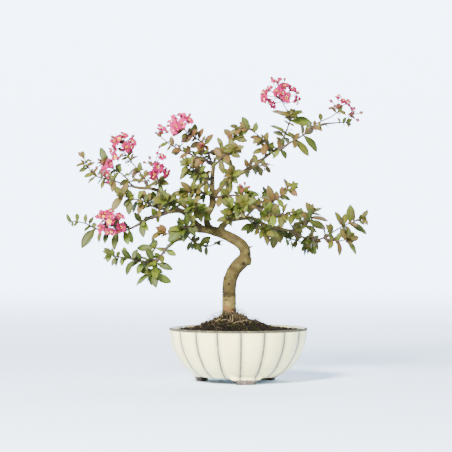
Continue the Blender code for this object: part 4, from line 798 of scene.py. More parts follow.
def place_tree(name):
    """Puts one of several blanks on every point, by the point's own kind, turn and size."""
    tree, given, end = geometry_tree(name, Collection=["Blanks"])
    turn = out(tree, "FunctionNodeEulerToRotation", {0: named_value(tree, "turn", "FLOAT_VECTOR")})
    return end_geometry(tree, given, end, copies(tree, given["Geometry"], given["Blanks"], {
        "Instance Index": named_value(tree, "kind", "INT"), "Rotation": turn,
        "Scale": named_value(tree, "size", "FLOAT_VECTOR")}))


def strew_tree(name):
    """Strews bits over a surface, thickest where the surface's own mask is high."""
    tree, given, end = geometry_tree(name, Collection=["Bits"], String=["Mask"], Int=["Seed"], Float=[
        "Density", "Smallest", "Largest", "Tumble"])
    seed = given["Seed"]
    points = values_of(tree, put(tree, "GeometryNodeDistributePointsOnFaces", {
        "Mesh": given["Geometry"], "Density": named_value(tree, given["Mask"]) * given["Density"],
        "Seed": seed}))
    lean = given["Tumble"] * math.pi
    most = out(tree, "ShaderNodeCombineXYZ", {"X": lean, "Y": lean, "Z": math.pi})
    least = out(tree, "ShaderNodeVectorMath", {0: most, 1: (-1.0, -1.0, -1.0)}, operation="MULTIPLY")
    spin = out(tree, "FunctionNodeRandomValue", {0: least, 1: most, "Seed": seed}, data_type="FLOAT_VECTOR")
    spun = out(tree, "FunctionNodeEulerToRotation", {0: spin})
    turned = out(tree, "FunctionNodeRotateRotation", {0: points["Rotation"], 1: spun}, rotation_space="LOCAL")
    size = out(tree, "FunctionNodeRandomValue", {2: given["Smallest"], 3: given["Largest"], "Seed": seed}, 1,
               data_type="FLOAT")
    tone = out(tree, "FunctionNodeRandomValue", {2: 0.0, 3: 1.0, "ID": seed + 0.0}, 1, data_type="FLOAT")
    toned = kept_value(tree, points["Points"], "tone", tone)
    return end_geometry(tree, given, end, copies(tree, toned, given["Bits"], {
        "Rotation": turned, "Scale": size}))


def blanks_of(name, meshes):
    """A collection of blanks to be repeated, kept out of the scene."""
    group = bpy.data.collections.new(name)
    for i, mesh in enumerate(meshes):
        group.objects.link(bpy.data.objects.new("%s_%02d" % (name, i), mesh))
    return group


def drop_blanks(group):
    for thing in list(group.objects):
        bpy.data.objects.remove(thing, do_unlink=True)
    bpy.data.collections.remove(group)


# Shader groups and materials.

def shader_group(name, inputs, outputs):
    return new_tree(name, "ShaderNodeTree", inputs, outputs)


def noise_texture(tree, vector, scale, detail, **settings):
    feeds = {"Vector": vector, "Scale": scale, "Detail": detail, **settings}
    return out(tree, "ShaderNodeTexNoise", feeds)


def patches_group(name):
    """Two colours in soft patches."""
    tree, given, end = shader_group(name, {
        "Vector": ["Vector"], "Color": ["Colour A", "Colour B"], "Float": ["Scale", "Share", "Softness"]},
        {"Color": ["Colour"], "Float": ["Mask"]})
    middle = 1.0 - given["Share"]
    mask = noise_texture(tree, given["Vector"], given["Scale"], 4.0, Roughness=0.6).step(
        middle - given["Softness"], middle + given["Softness"])
    colour = mix(tree, mask, given["Colour A"], given["Colour B"])
    return close_tree(tree, end, Colour=colour, Mask=mask)


def grain_group(name):
    """Height of a fine grain at two sizes."""
    tree, given, end = shader_group(name, {
        "Vector": ["Vector"], "Float": ["Coarse", "Fine"]}, {"Float": ["Height"]})
    coarse = noise_texture(tree, given["Vector"], given["Coarse"], 3.0)
    fine = noise_texture(tree, given["Vector"], given["Fine"], 2.0)
    return close_tree(tree, end, Height=coarse * 0.65 + fine * 0.35)


def specks_group(name):
    """Small scattered dots."""
    tree, given, end = shader_group(name, {
        "Vector": ["Vector"], "Float": ["Scale", "Size", "Share"]}, {"Float": ["Mask"]})
    cells = values_of(tree, put(tree, "ShaderNodeTexVoronoi", {
        "Vector": given["Vector"], "Scale": given["Scale"]}))
    pick = out(tree, "ShaderNodeSeparateColor", {"Color": cells["Color"]})
    dots = (cells["Distance"] < given["Size"]) * (pick < given["Share"])
    return close_tree(tree, end, Mask=dots)


def blade_group(name):
    """Midrib, side ribs, margin and underside of a leaf or petal, from its own coordinates."""
    tree, given, end = shader_group(name, {"Float": ["Ribs", "Slant"]}, {
        "Float": ["Midrib", "Side Ribs", "Margin", "Along", "Underside"]})
    place = out(tree, "ShaderNodeAttribute", output="Vector", attribute_name="blade")
    across, along, under = split(tree, place)
    off = abs(across)
    off_rib = ((along - off * given["Slant"]) * given["Ribs"]).to_and_fro(0.5)
    return close_tree(
        tree, end, Midrib=off.step(0.13, 0.02), Side_Ribs=off_rib.step(0.12, 0.0),
        Margin=off.most(along ** 9.0).step(0.72, 1.0), Along=along, Underside=under)


def use_group(tree, name, build, **values):
    """A shader group's outputs by name."""
    group = put(tree, "ShaderNodeGroup", node_tree=found_tree(name, build))
    for label, value in values.items():
        feed(tree, group.inputs[label.replace("_", " ").title()], value)
    return values_of(tree, group)


class Finish:
    """A Principled material in the making."""

    def __init__(self, name, **values):
        self.material = bpy.data.materials.new(name)
        self.material.use_nodes = True
        self.tree = self.material.node_tree
        self.shader = self.tree.nodes["Principled BSDF"]
        self.place = out(self.tree, "ShaderNodeTexCoord", output="Object")
        for label, value in values.items():
            self.feed(label.replace("_", " "), value)

    def feed(self, label, value):
        feed(self.tree, self.shader.inputs[label], value)

    def clouds(self, low, high, scale, share=0.5, softness=0.08):
        """Soft patches of two colours, as colour and mask."""
        return use_group(self.tree, "Patches", patches_group, vector=self.place, colour_a=low,
                         colour_b=high, scale=scale, share=share, softness=softness)

    def patches(self, *values):
        return self.clouds(*values)["Colour"]

    def blade(self, ribs, slant):
        return use_group(self.tree, "Blade", blade_group, ribs=ribs, slant=slant)

    def value(self, label):
        return out(self.tree, "ShaderNodeAttribute", output="Fac", attribute_name=label)

    def mix(self, share, low, high):
        return mix(self.tree, share, low, high)

    def dress(self, colour, coarse, fine, distance, strength=1.0, more=None):
        """The material, with its colour and with relief from the grain and another height."""
        height = use_group(self.tree, "Grain", grain_group, vector=self.place, coarse=coarse,
                           fine=fine)["Height"]
        if more is not None:
            height = height + more
        self.feed("Base Color", colour)
        self.feed("Normal", out(self.tree, "ShaderNodeBump", {
            "Height": height, "Distance": distance, "Strength": strength}))
        return self.material


def glaze_finish(pot):
    made = Finish("glaze", Roughness=0.3, Coat_Weight=0.2, Coat_Roughness=0.12)
    base = made.patches(pot.glaze, pot.glaze_shade, 26.0, 0.5, 0.2)
    groove = made.value("groove").step(1.7, 0.6)
    # Painted shade in a wide band beside each groove, standing in for the shading of the lobes.
    groove_shade_mask = made.value("groove").step(9.0, 0.5)
    rim = made.value("rim").step(3.1, 1.9)
    wobble = made.clouds((0, 0, 0), (1, 1, 1), 160.0, 0.6, 0.12)["Mask"]
    worn = (groove * (0.5 + wobble * 0.4)).most(rim * (0.9 + wobble * 0.1))
    colour = made.mix(groove_shade_mask * groove_shade_mask * 0.85, base, pot.thin_glaze)
    colour = made.mix(worn, colour, pot.edge)
    # Painted shade on the inner wall, wherever it faces the axis.
    colour = made.mix(made.value("inside") * 0.7, colour, pot.inner)
    holes = use_group(made.tree, "Specks", specks_group, vector=made.place, scale=210.0, size=0.1,
                      share=0.035)["Mask"]
    colour = made.mix(holes, colour, pot.edge)
    height = out(made.tree, "ShaderNodeSeparateXYZ", {"Vector": made.place}, "Z")
    bare = (height + wobble * 0.0006).step(*BARE_CLAY)
    colour = made.mix(bare, colour, made.patches(pot.clay, pot.clay_dark, 300.0))
    dull = bare.most(rim)
    made.feed("Roughness", 0.3 + dull * 0.6)
    made.feed("Coat Weight", (1.0 - dull) * 0.2)
    return made.dress(colour, 60.0, 900.0, 0.00012, 0.35, holes * -1.0)


def soil_finish(soil):
    made = Finish("soil", Roughness=0.95, Specular_IOR_Level=0.05)
    # The near-black soil colours carry painted shade as well as the soil's own colour.
    base = made.patches(soil.dark, soil.light, 260.0, 0.42, 0.1)
    grit = made.patches(base, soil.grit, 900.0, 0.3, 0.05)
    green = made.mix(made.value("moss") * 0.75, grit, soil.moss_dark)
    return made.dress(green, 420.0, 1600.0, 0.0012)


def toned_finish(name, low, high, scale, roughness=0.85):
    """A finish that runs from one colour to another by each bit's own tone."""
    made = Finish(name, Roughness=roughness, Specular_IOR_Level=0.08)
    base = made.mix(made.value("tone"), low, high)
    deep = made.mix(0.45, base, (0.0, 0.0, 0.0))
    return made.dress(made.patches(deep, base, scale, 0.55, 0.15), scale, 4.0 * scale, 0.0004, 0.8)


def bark_finish(bark):
    made = Finish("bark", Roughness=0.8, Specular_IOR_Level=0.12)
    base = made.patches(bark.light, bark.tan, 95.0, 0.55, 0.12)
    grey = made.patches(base, bark.grey, 60.0, 0.4, 0.08)
    streaks = out(made.tree, "ShaderNodeMapping", {"Vector": made.place, "Scale": (1.0, 1.0, 3.5)})
    flecks = noise_texture(made.tree, streaks, 260.0, 4.0, Roughness=0.7)
    colour = made.mix(flecks.step(0.56, 0.68), grey, bark.brown)
    # Painted shade: the hollows of the relief are darkened towards brown.
    colour = made.mix(made.value("relief").step(0.1, -0.45) * 0.65, colour, bark.brown)
    colour = made.mix(made.value("pale"), colour, bark.pale)
    colour = made.mix(made.value("scar") * 0.9, colour, bark.scar)
    colour = made.mix(made.value("warm"), colour, bark.orange)
    colour = made.mix(made.value("young"), colour, bark.twig)
    return made.dress(colour, 420.0, 1500.0, 0.0005, 0.8)


def twig_finish(bark):
    made = Finish("twig", Roughness=0.7, Specular_IOR_Level=0.15)
    base = made.mix(made.value("tone"), bark.twig, bark.green_twig)
    return made.dress(made.patches(base, bark.grey, 300.0, 0.3, 0.1), 600.0, 2500.0, 0.0002, 0.7)


def leaf_finish(leaf):
    made = Finish("leaf", Roughness=0.5, Specular_IOR_Level=0.16)
    blade = made.blade(7.0, 0.42)
    tone = made.value("tone")
    colour = made.mix(made.value("chance") ** 1.5, leaf.deep, leaf.green)
    colour = made.mix(tone.step(0.15, 0.7), colour, leaf.olive)
    colour = made.mix(tone.step(0.5, 0.95), colour, leaf.bronze)
    blotch = made.clouds(colour, leaf.red, 140.0, 0.5, 0.22)["Mask"]
    colour = made.mix(blotch * tone.step(0.5, 1.15), colour, leaf.red)
    colour = made.mix(blade["Margin"] * (tone * 0.5), colour, leaf.red)
    colour = made.mix(blade["Midrib"] * 0.4, colour, leaf.vein)
    colour = made.mix(blade["Side Ribs"] * 0.12, colour, leaf.vein)
    colour = made.mix(blade["Underside"] * 0.35, colour, leaf.under)
    made.feed("Roughness", 0.45 + blade["Underside"] * 0.3)
    lines = blade["Midrib"] * -0.8 + blade["Side Ribs"] * -0.45
    return made.dress(colour, 500.0, 2200.0, 0.0003, 0.6, lines)


def petal_finish(flower):
    made = Finish("petal", Roughness=0.6, Specular_IOR_Level=0.15, Subsurface_Weight=0.15,
                  Subsurface_Scale=0.001)
    blade = made.blade(9.0, 0.15)
    colour = made.mix(made.value("chance"), flower.deep, flower.pink)
    colour = made.mix(made.value("tone").step(0.0, 1.0), colour, flower.pale)
    colour = made.mix(blade["Along"].step(0.45, 1.0) * 0.35, colour, flower.pale)
    colour = made.mix(blade["Along"].step(0.42, 0.2), colour, flower.claw)
    colour = made.mix(blade["Side Ribs"] * 0.2, colour, flower.deep)
    return made.dress(colour, 700.0, 2600.0, 0.0004, 0.7)


def bud_finish(flower):
    made = Finish("bud", Roughness=0.45, Subsurface_Weight=0.1, Subsurface_Scale=0.001)
    foot = made.blade(6.0, 0.0)["Along"].step(0.6, 0.0)
    base = made.mix(made.value("tone"), flower.calyx, flower.crimson)
    rusty = made.patches(base, flower.rust, 350.0, 0.5, 0.2)
    return made.dress(made.mix(foot * 0.6, rusty, flower.calyx_green), 500.0, 2400.0, 0.0003, 0.6)


def stamen_finish(flower):
    made = Finish("stamen", Roughness=0.6)
    anther = made.blade(1.0, 0.0)["Along"].step(0.4, 0.9)
    return made.dress(made.mix(anther, flower.deep, flower.gold), 900.0, 3000.0, 0.0001, 0.5)


def net_finish(pot):
    made = Finish("drain_net", Roughness=0.5)
    return made.dress(made.patches(pot.net, (0.0, 0.0, 0.0), 500.0, 0.4, 0.2), 900.0, 3000.0, 0.0001, 0.5)


# Pot.

def turned_wall():
    """The wall's outline turned about Z into a closed ring round the drain hole."""
    corners, faces = [], []
    count = len(WALL)
    for i in range(WALL_STEPS):
        angle = math.tau * i / WALL_STEPS + POT_TURN
        ahead = (i + 1) % WALL_STEPS
        corners += [Vector((r * math.cos(angle), r * math.sin(angle), z)) * MM for r, z in WALL]
        for k in range(count):
            m = (k + 1) % count
            faces.append((i * count + k, ahead * count + k, ahead * count + m, i * count + m))
    return corners, faces


def squared(size, part):
    """A sine or cosine made squarer, at a size."""
    return size * math.copysign(abs(part) ** 0.5, part)


def bracket_foot(angle):
    """A foot: a small pad that flares to a wide bracket under the pot's floor."""
    ahead = outward(math.radians(angle))
    side = Vector((-ahead.y, ahead.x, 0.0))
    corners = []
    for wide, height, deep in FOOT:
        for k in range(FOOT_STEPS):
            turn = math.tau * k / FOOT_STEPS
            x, y = squared(wide, math.cos(turn)), squared(deep, math.sin(turn))
            corners.append((ahead * (FOOT_RADIUS + y) - side * x + upright(height)) * MM)
    return corners, tube_faces(len(FOOT), FOOT_STEPS)


def face_outward(mesh):
    work = bmesh.new()
    work.from_mesh(mesh)
    bmesh.ops.recalc_face_normals(work, faces=work.faces)
    if work.calc_volume(signed=True) < 0:
        bmesh.ops.reverse_faces(work, faces=work.faces)
    work.to_mesh(mesh)
    work.free()


def closed_mesh(name, shapes):
    """A mesh of closed shapes, with its faces outwards."""
    draft = Draft()
    for shape in shapes:
        draft.add(shape)
    mesh = draft.mesh(name)
    face_outward(mesh)
    return mesh


def make_pot(pot):
    piece = new_object("glazed_pot", closed_mesh("glazed_pot", [turned_wall()]))
    feet = new_object("feet", closed_mesh("feet", [bracket_foot(angle) for angle in FOOT_ANGLES]))
    fuse = piece.modifiers.new("feet", "BOOLEAN")
    fuse.operation = "UNION"
    fuse.solver = "MANIFOLD"
    fuse.object = feet
    apply_modifiers(piece)
    bpy.data.objects.remove(feet, do_unlink=True)
    glaze = glaze_finish(pot)
    low, high = GROOVE_RISE
    run_tree(piece, found_tree("Lobed wall", lobed_wall_tree), lobes=float(pot.lobes), turn=POT_TURN,
             groove_depth=pot.groove_depth, foot_height=low, full_height=high,
             rim_radius=RIM_EDGE[0] * MM, rim_height=RIM_EDGE[1] * MM, material=glaze)
    finish_piece(piece, glaze, "glaze", "pot")


def dress_drain_mesh(pot):
    """The little net over the drain hole keeps its solid and gets a moulded finish."""
    net = frame["nodes"]["drain_mesh"]
    net.data.materials.clear()
    net.data.materials.append(net_finish(pot))


# Soil and what lies on it.

def lobe_scale(x, y):
    """How much the grooves draw the inside of the pot's wall in at a place."""
    radius = max(math.hypot(x, y), 1.0)
    dip = 1.0 - abs(math.sin(0.5 * LOBES * (math.atan2(y, x) - POT_TURN))) ** 0.8
    return 1.0 - INNER_GROOVE * dip * min(radius / 80.0, 1.0) ** 2 / radius


def lumps(x, y):
    """Lumps of the ground, coarse to fine, in millimetres."""
    place = Vector((x, y, 3.7))
    return (1.6 * noise.noise(place * 0.09) + 2.2 * noise.noise(place * 0.2)
            + 1.3 * noise.noise(place * 0.5) + 0.5 * noise.noise(place * 1.3))


def ground_height(x, y):
    """Height of the soil's surface, in millimetres."""
    away = max(math.hypot(x - TRUNK_FOOT[0], y - TRUNK_FOOT[1]), 1.0)
    steeper = 1.0 + LEFT_FALL * max(0.0, TRUNK_FOOT[0] - x) / away
    height = lookup(MOUND, away * steeper) + 1.15 * lumps(x, y)
    return blend(height, SOIL_EDGE_Z, ramp(math.hypot(x, y), 76.0, SOIL_RADIUS))


def moss_at(x, y):
    """How mossy the ground is: most in front of the trunk and to its right."""
    patch = cloud(x, y, 11.0, 0.06) + 0.35 * cloud(x, y, 5.0, 0.2)
    near = ramp(math.hypot(x - 4.0, y + 24.0), 46.0, 12.0)
    return ramp(patch + 0.55 * near, 0.28, 0.62)


def litter_at(x, y):
    """How thickly crumbs and chips lie."""
    return 0.35 + 0.65 * ramp(cloud(x, y, 20.0, 0.1), -0.3, 0.4)


def ground_mesh():
    """The mound with its skirt down into the pot, and masks for what lies on it."""
    rings = [(SOIL_RADIUS * i / SOIL_RINGS, None) for i in range(1, SOIL_RINGS + 1)] + SOIL_SKIRT
    corners, moss, litter = [], [], []
    for radius, skirt in rings:
        for k in range(SOIL_STEPS):
            turn = math.tau * k / SOIL_STEPS
            x, y = radius * math.cos(turn), radius * math.sin(turn)
            scale = lobe_scale(x, y) if radius > 70.0 else 1.0
            corners.append(Vector((x * scale, y * scale, skirt or ground_height(x, y))) * MM)
            moss.append(0.0 if skirt else moss_at(x, y))
            litter.append(0.0 if skirt else litter_at(x, y))
    faces = ring_faces(len(rings), SOIL_STEPS, inward=True)
    top = len(corners)
    last = top - SOIL_STEPS
    corners += [upright(ground_height(0.0, 0.0)) * MM, upright(SOIL_SKIRT[-1][1]) * MM]
    for k in range(SOIL_STEPS):
        m = (k + 1) % SOIL_STEPS
        faces += [(top, k, m), (top + 1, last + m, last + k)]
    draft = Draft()
    draft.add((corners, faces), moss=moss + [0.0, 0.0], litter=litter + [0.0, 0.0])
    return draft.mesh("soil_mound")


def crumb_blank(name, seed, stretch):
    """A small broken lump."""
    work = bmesh.new()
    bmesh.ops.create_icosphere(work, subdivisions=1, radius=0.5)
    chance = random.Random(seed)
    for corner in work.verts:
        push = 1.0 + chance.uniform(-0.3, 0.3)
        corner.co = Vector([place * wide for place, wide in zip(corner.co, stretch)]) * push
    mesh = bpy.data.meshes.new(name)
    work.to_mesh(mesh)
    work.free()
    return mesh


def tuft_blank(name, seed):
    """A tuft of moss: short pointed leaves round a middle."""
    chance = random.Random(seed)
    shapes = []
    for i in range(TUFT_LEAVES):
        ahead = outward(math.tau * i / TUFT_LEAVES + chance.uniform(-0.3, 0.3))
        lean = chance.uniform(0.15, 0.75)
        side = Vector((-ahead.y, ahead.x, 0.0)) * 0.11
        root = ahead * 0.05 - upright(0.1)
        tip = root + ahead * lean + upright(chance.uniform(0.7, 1.1))
        back = root - ahead * 0.12
        shapes.append(([root + side, root - side, back, tip], [(0, 1, 3), (1, 2, 3), (2, 0, 3), (0, 2, 1)]))
    return closed_mesh(name, shapes)


def strew(name, ground, blanks, material, sizes, **values):
    """Strew blanks over a copy of the ground and keep them as one piece."""
    group = blanks_of(name, blanks)
    piece = new_object(name, ground.copy())
    run_tree(piece, found_tree("Strewn bits", strew_tree), bits=group, material=material,
             smallest=sizes[0], largest=sizes[1], **values)
    drop_blanks(group)
    finish_piece(piece, material, "soil", smooth=False)


def make_soil(soil):
    ground = ground_mesh()
    crumbs = [crumb_blank("crumb%d" % i, i, shape) for i, shape in enumerate(CRUMB_SHAPES)]
    lump = toned_finish("soil_crumbs", soil.dark, soil.grit, 500.0)
    strew("soil_crumbs", ground, crumbs, lump, CRUMB_SIZES, mask="litter", density=soil.crumb_density,
          tumble=1.0, seed=4)
    chips = [crumb_blank("chip%d" % i, 20 + i, shape) for i, shape in enumerate(CHIP_SHAPES)]
    chip = toned_finish("bark_chips", soil.chip_dark, soil.chip, 300.0)
    strew("bark_chips", ground, chips, chip, CHIP_SIZES, mask="litter", density=soil.chip_density,
          tumble=0.12, seed=9)
    tufts = [tuft_blank("tuft%d" % i, 40 + i) for i in range(4)]
    green = toned_finish("moss", soil.moss_dark, soil.moss, 300.0, roughness=0.7)
    strew("moss", ground, tufts, green, MOSS_SIZES, mask="moss", density=soil.moss_density,
          tumble=0.12, seed=2)
    finish_piece(new_object("soil_mound", ground), soil_finish(soil), "soil", "soil")


def beside_trunk(angle, away):
    return TRUNK_FOOT[0] + away * math.cos(angle), TRUNK_FOOT[1] + away * math.sin(angle)


def add_tube(draft, points, radii, sides, step, rounds, **values):
    """Add a tube whose route is eased in steps of some millimetres."""
    places, widths = flowing(points, radii, step * MM, rounds)
    draft.add(sweep(places, widths, sides), **values)


def surface_root(chance, angle, start, reach, lift):
    """A root that wanders over the ground from beside the trunk."""
    heading = chance.uniform(0.0, math.tau)
    curl = chance.uniform(-0.17, 0.17)
    x, y = beside_trunk(angle, start)
    places, walked = [], 0.0
    while walked <= reach:
        share = walked / reach
        arch = lift * math.sin(math.pi * min(share * 1.15, 1.0)) - 1.2 * ramp(share, 0.8, 1.0)
        places.append(Vector((x, y, ground_height(x, y) + 0.3 + arch)) * MM)
        heading += chance.uniform(-0.35, 0.35) + curl
        x += ROOT_PACE * math.cos(heading)
        y += ROOT_PACE * math.sin(heading)
        walked += ROOT_PACE
    return places


def lay_roots(draft, chance, count):
    """Roots over the mound; every fifth is a bold one in front of the trunk."""
    for i in range(count):
        angle = math.radians(chance.choice(ROOT_ANGLES) + chance.uniform(-40, 40))
        reach = chance.uniform(9.0, 22.0)
        bold = 1.0 if i % 5 == 0 else 0.0
        angle = blend(angle, math.radians(-95.0 + chance.uniform(-50.0, 50.0)), bold)
        start = 11.0 + 24.0 * chance.random()
        reach *= blend(1.0, 1.5, bold)
        places = surface_root(chance, angle, start, reach, chance.uniform(0.8, 3.6))
        width = blend(chance.uniform(0.14, 0.26), 0.29, bold) * MM
        radii = [width * blend(1.0, 0.4, k / len(places)) for k in range(len(places))]
        add_tube(draft, places, radii, 6, 1.0, 2, tone=blend(0.4 * chance.random() ** 2, 1.0, bold))


def raise_fibres(draft, chance, count):
    """Fine fibres that rise from the mound and bend over."""
    for i in range(count):
        angle = chance.uniform(0.0, math.tau)
        away = 9.0 + 52.0 * chance.random() ** 1.4
        x, y = beside_trunk(angle, away)
        if math.hypot(x, y) > FIBRE_REACH:
            continue
        place = Vector((x, y, ground_height(x, y) - 0.5))
        lean = outward(angle) * chance.uniform(0.2, 1.3)
        ahead = (lean + Vector((chance.uniform(-0.6, 0.6), chance.uniform(-0.6, 0.6), 1.0))).normalized()
        bend = stray(chance, 0.22)
        pace = chance.uniform(0.9, 1.9) * ramp(away, 75.0, 12.0) + 0.4
        places = []
        for k in range(FIBRE_STEPS):
            places.append(place * MM)
            place = place + ahead * pace
            ahead = (ahead + bend + upright(-0.03 * k)).normalized()
        width = chance.uniform(0.2, 0.34) * MM
        radii = [width * blend(1.0, 0.35, k / (FIBRE_STEPS - 1)) for k in range(FIBRE_STEPS)]
        draft.add(sweep(places, radii, 4), tone=0.6 * chance.random() ** 1.6)


def make_roots(soil):
    """Pale roots over the mound and fine fibres that stand up from it."""
    chance = random.Random(17)
    draft = Draft()
    lay_roots(draft, chance, soil.roots)
    raise_fibres(draft, chance, soil.fibres)
    finish = toned_finish("root_fibre", soil.root_dark, soil.root, 400.0, roughness=0.75)
    finish_piece(new_object("surface_roots", draft.mesh("surface_roots")), finish, "bark")


# Trunk and limbs.

def limb_route(name):
    """A limb's places and radii; the trunk's begin in the soil and swell above it."""
    points = [metres(p) for p in LIMBS[name]]
    radii = [p[3] * MM for p in LIMBS[name]]
    if name == "trunk":
        points = [metres((*TRUNK_FOOT, z)) for z, r in TRUNK_BASE] + points
        radii = [r * MM for z, r in TRUNK_BASE] + radii
        radii = [r + STEM_SWELL * MM * ramp(p.z, 0.090, 0.098) * ramp(p.z, 0.165, 0.13)
                 for p, r in zip(points, radii)]
    return points, [r + LIMB_SWELL * MM for r in radii]


def flare_route(angle, reach, size):
    """The places and radii of a root that flares from the trunk into the ground."""
    ahead = outward(math.radians(angle))
    foot = Vector((*TRUNK_FOOT, 0.0))
    points = [foot + ahead * 2.5 + upright(95), foot + ahead * 5.0 + upright(89)]
    for share in (0.35, 0.6, 0.8, 1.0):
        place = foot + ahead * reach * share
        place.z = ground_height(place.x, place.y) + blend(0.9, -2.4, share)
        points.append(place)
    return [p * MM for p in points], [size * k * MM for k in (0.75, 1.0, 0.95, 0.75, 0.55, 0.35)]


def trunk_draft():
    """The trunk with its limbs and the flare of its roots, as overlapping tubes."""
    draft = Draft()
    for name in LIMBS:
        add_tube(draft, *limb_route(name), 24, 2.0, 5)
    for flare in ROOT_FLARE:
        add_tube(draft, *flare_route(*flare), 16, 1.5, 3)
    for start, end, radius in SPURS:
        add_tube(draft, [metres(start), metres(end)], [radius * MM, 0.6 * radius * MM], 12, 1.0, 0)
    return draft


def smooth_skin(piece, size):
    """One skin over a piece's tubes, with its steps smoothed away, ready for relief."""
    skin = piece.modifiers.new("skin", "REMESH")
    skin.mode = "VOXEL"
    skin.voxel_size = size
    skin.adaptivity = 0.0
    apply_modifiers(piece)
    work = bmesh.new()
    work.from_mesh(piece.data)
    every_way = {"use_axis_x": True, "use_axis_y": True, "use_axis_z": True}
    for turn in range(3):
        bmesh.ops.smooth_vert(work, verts=work.verts, factor=0.5, **every_way)
    work.normal_update()
    return work


def bark_height(place):
    """Lumps, plates and wrinkles of the bark at a place in millimetres."""
    wrinkle = Vector((place.x, place.y, place.z * 2.6))
    return (0.42 * noise.noise(place * 0.11) + 0.26 * noise.noise(place * 0.3 + Vector((9, 0, 0)))
            + 0.2 * noise.noise(wrinkle * 0.42) + 0.1 * noise.noise(place * 1.3))


def old_cuts(place, height):
    """The bark's height with old cuts sunk into it, and how dark the cuts and the foot are."""
    mark = 0.0
    for x, y, z, radius, depth in SCARS:
        off = (place - Vector((x, y, z))).length / radius
        ragged = off + 0.25 * noise.noise(place * 0.5)
        mark = max(mark, ramp(ragged, 1.05, 0.7))
        height -= depth * ramp(ragged, 1.05, 0.6)
    return height, max(mark, 0.8 * ramp(place.z + 4.0 * noise.noise(place * 0.2), 92.0, 86.0))


def dark_rings(place, height, mark):
    """The same with the rings round the stem, which are broken and lie on its left."""
    wobble = 2.4 * cloud(place.x, place.y, 0.0, 0.12)
    on_stem = 1.0 if place.z < 190.0 else 0.0
    broken = ramp(noise.noise(place * 0.42 + Vector((4.0, 0.0, 0.0))), -0.3, 0.25)
    leftward = ramp(place.x + 3.0 * noise.noise(place * 0.3), -8.0, -14.0)
    for z, thickness, depth in RINGS:
        off = abs(place.z - z - wobble) / thickness
        mark = max(mark, 0.85 * broken * leftward * on_stem * ramp(off, 1.0, 0.3))
        height -= depth * on_stem * (0.4 + 0.6 * leftward) * ramp(off, 1.0, 0.2)
    return height, mark


def bark_marks(place):
    """The bark's height at a place in millimetres, and the masks that colour it."""
    height = bark_height(place) * blend(0.35, 1.0, ramp(place.z, 240.0, 190.0))
    height, scar = dark_rings(place, *old_cuts(place, height))
    glow = max(share * ramp((place - Vector((x, y, z))).length, radius, 0.4 * radius)
               for x, y, z, radius, share in WARM_PATCHES)
    low, high = PALE_BARK
    near_base = ramp(place.z, low, low + 4.0) * ramp(place.z, high + 6.0, high - 2.0)
    # Upper limbs right of the stem get paler bark; the limbs left of it stay darker as painted shade behind
    # the leaves.
    upper = 0.45 * ramp(place.z, 196.0, 225.0) * ramp(place.x, -30.0, -12.0)
    return {
        "relief": height,
        "scar": scar,
        "warm": glow * (0.75 + 0.5 * noise.noise(place * 0.35)),
        "young": ramp(place.z, 225.0, 300.0) * 0.45 + 0.2 * ramp(abs(place.x + 20.0), 50.0, 100.0),
        "pale": max(near_base, upper) * (0.7 + 0.5 * noise.noise(place * 0.3)),
    }


def make_trunk(bark):
    piece = new_object("trunk_and_limbs", trunk_draft().mesh("trunk_and_limbs"))
    work = smooth_skin(piece, bark.skin)
    marks = []
    for corner in work.verts:
        marks.append(bark_marks(corner.co / MM))
        corner.co += corner.normal * marks[-1]["relief"] * MM
    work.to_mesh(piece.data)
    work.free()
    for label in marks[0]:
        store(piece.data, label, [mark[label] for mark in marks])
    finish_piece(piece, bark_finish(bark), "bark", "trunk")


# Shoots.

def tapered(count, radii):
    return [blend(radii[0], radii[1], i / (count - 1)) for i in range(count)]


def split_route(points, radii, at):
    """Cut a route at a length from its start; gives the far part, which begins a gap further on."""
    far, walked, cut = [], 0.0, at + GAP * MM
    for i in range(1, len(points)):
        reach = (points[i] - points[i - 1]).length
        if walked <= cut < walked + reach:
            share = (cut - walked) / reach
            far.append((points[i - 1].lerp(points[i], share), blend(radii[i - 1], radii[i], share)))
        walked += reach
        if walked > cut:
            far.append((points[i], radii[i]))
    return far


def twig_routes(shoot):
    """Every twig of a shoot, as places with radii; the first starts at the end of its spur."""
    routes = []
    for i, twig in enumerate(shoot.twigs):
        points = [metres(p) for p in twig]
        radii = tapered(len(points), shoot.radii)
        routes.append(list(zip(points, radii)) if i else split_route(points, radii, SPUR * MM))
    return routes


def leaf_seat(routes, tip, length):
    """The place on the twigs that a leaf of this length reaches its tip from, pointing forward."""
    best = None
    joint = routes[0][0][0]
    for route in routes:
        for (start, r0), (end, r1) in zip(route, route[1:]):
            ahead = (end - start).normalized()
            for i in range(6):
                place = start.lerp(end, i / 5)
                if (place - joint).length < LEAF_OFF_JOINT * MM:
                    continue
                reach = tip - place
                turned_back = max(0.0, 0.2 - ahead.dot(reach.normalized()))
                cost = abs(reach.length - length) + turned_back * 0.5 * length
                if best is None or cost < best[0]:
                    best = (cost, place)
    return best[1]


def leaf_normal(place, tip, chance):
    """The way a leaf faces: up, outwards from the tree and a little by chance."""
    along = (tip - place).normalized()
    away = Vector((place.x, place.y, 0.0)).normalized()
    face = Vector(LEAF_FACE) + LEAF_OUTWARD * away + LEAF_CHANCE * stray(chance)
    face -= along * face.dot(along)
    return face.normalized()


def leaf_places(name, shoot):
    """Root, tip, facing and length of each leaf of a shoot, bent clear as often as the solids were."""
    chance = random.Random(name)
    routes = twig_routes(shoot)
    found = []
    for x, y, z, millimetres, *bends in shoot.leaves:
        length = millimetres * MM
        wish = metres((x, y, z))
        seat = leaf_seat(routes, wish, length)
        for turn in range(sum(bends) + 1):
            aim = wish + stray(chance) * turn * BEND_STEP * MM - seat
            tip = seat + aim.normalized() * min(aim.length, LEAF_REACH * length)
            normal = leaf_normal(seat, tip, chance)
        found.append((seat, tip, normal, length))
    return found


def detour(place, run):
    """How much longer the way along a straight run is when it goes over a place."""
    start, end = run
    return (place - start).length + (end - place).length - (end - start).length


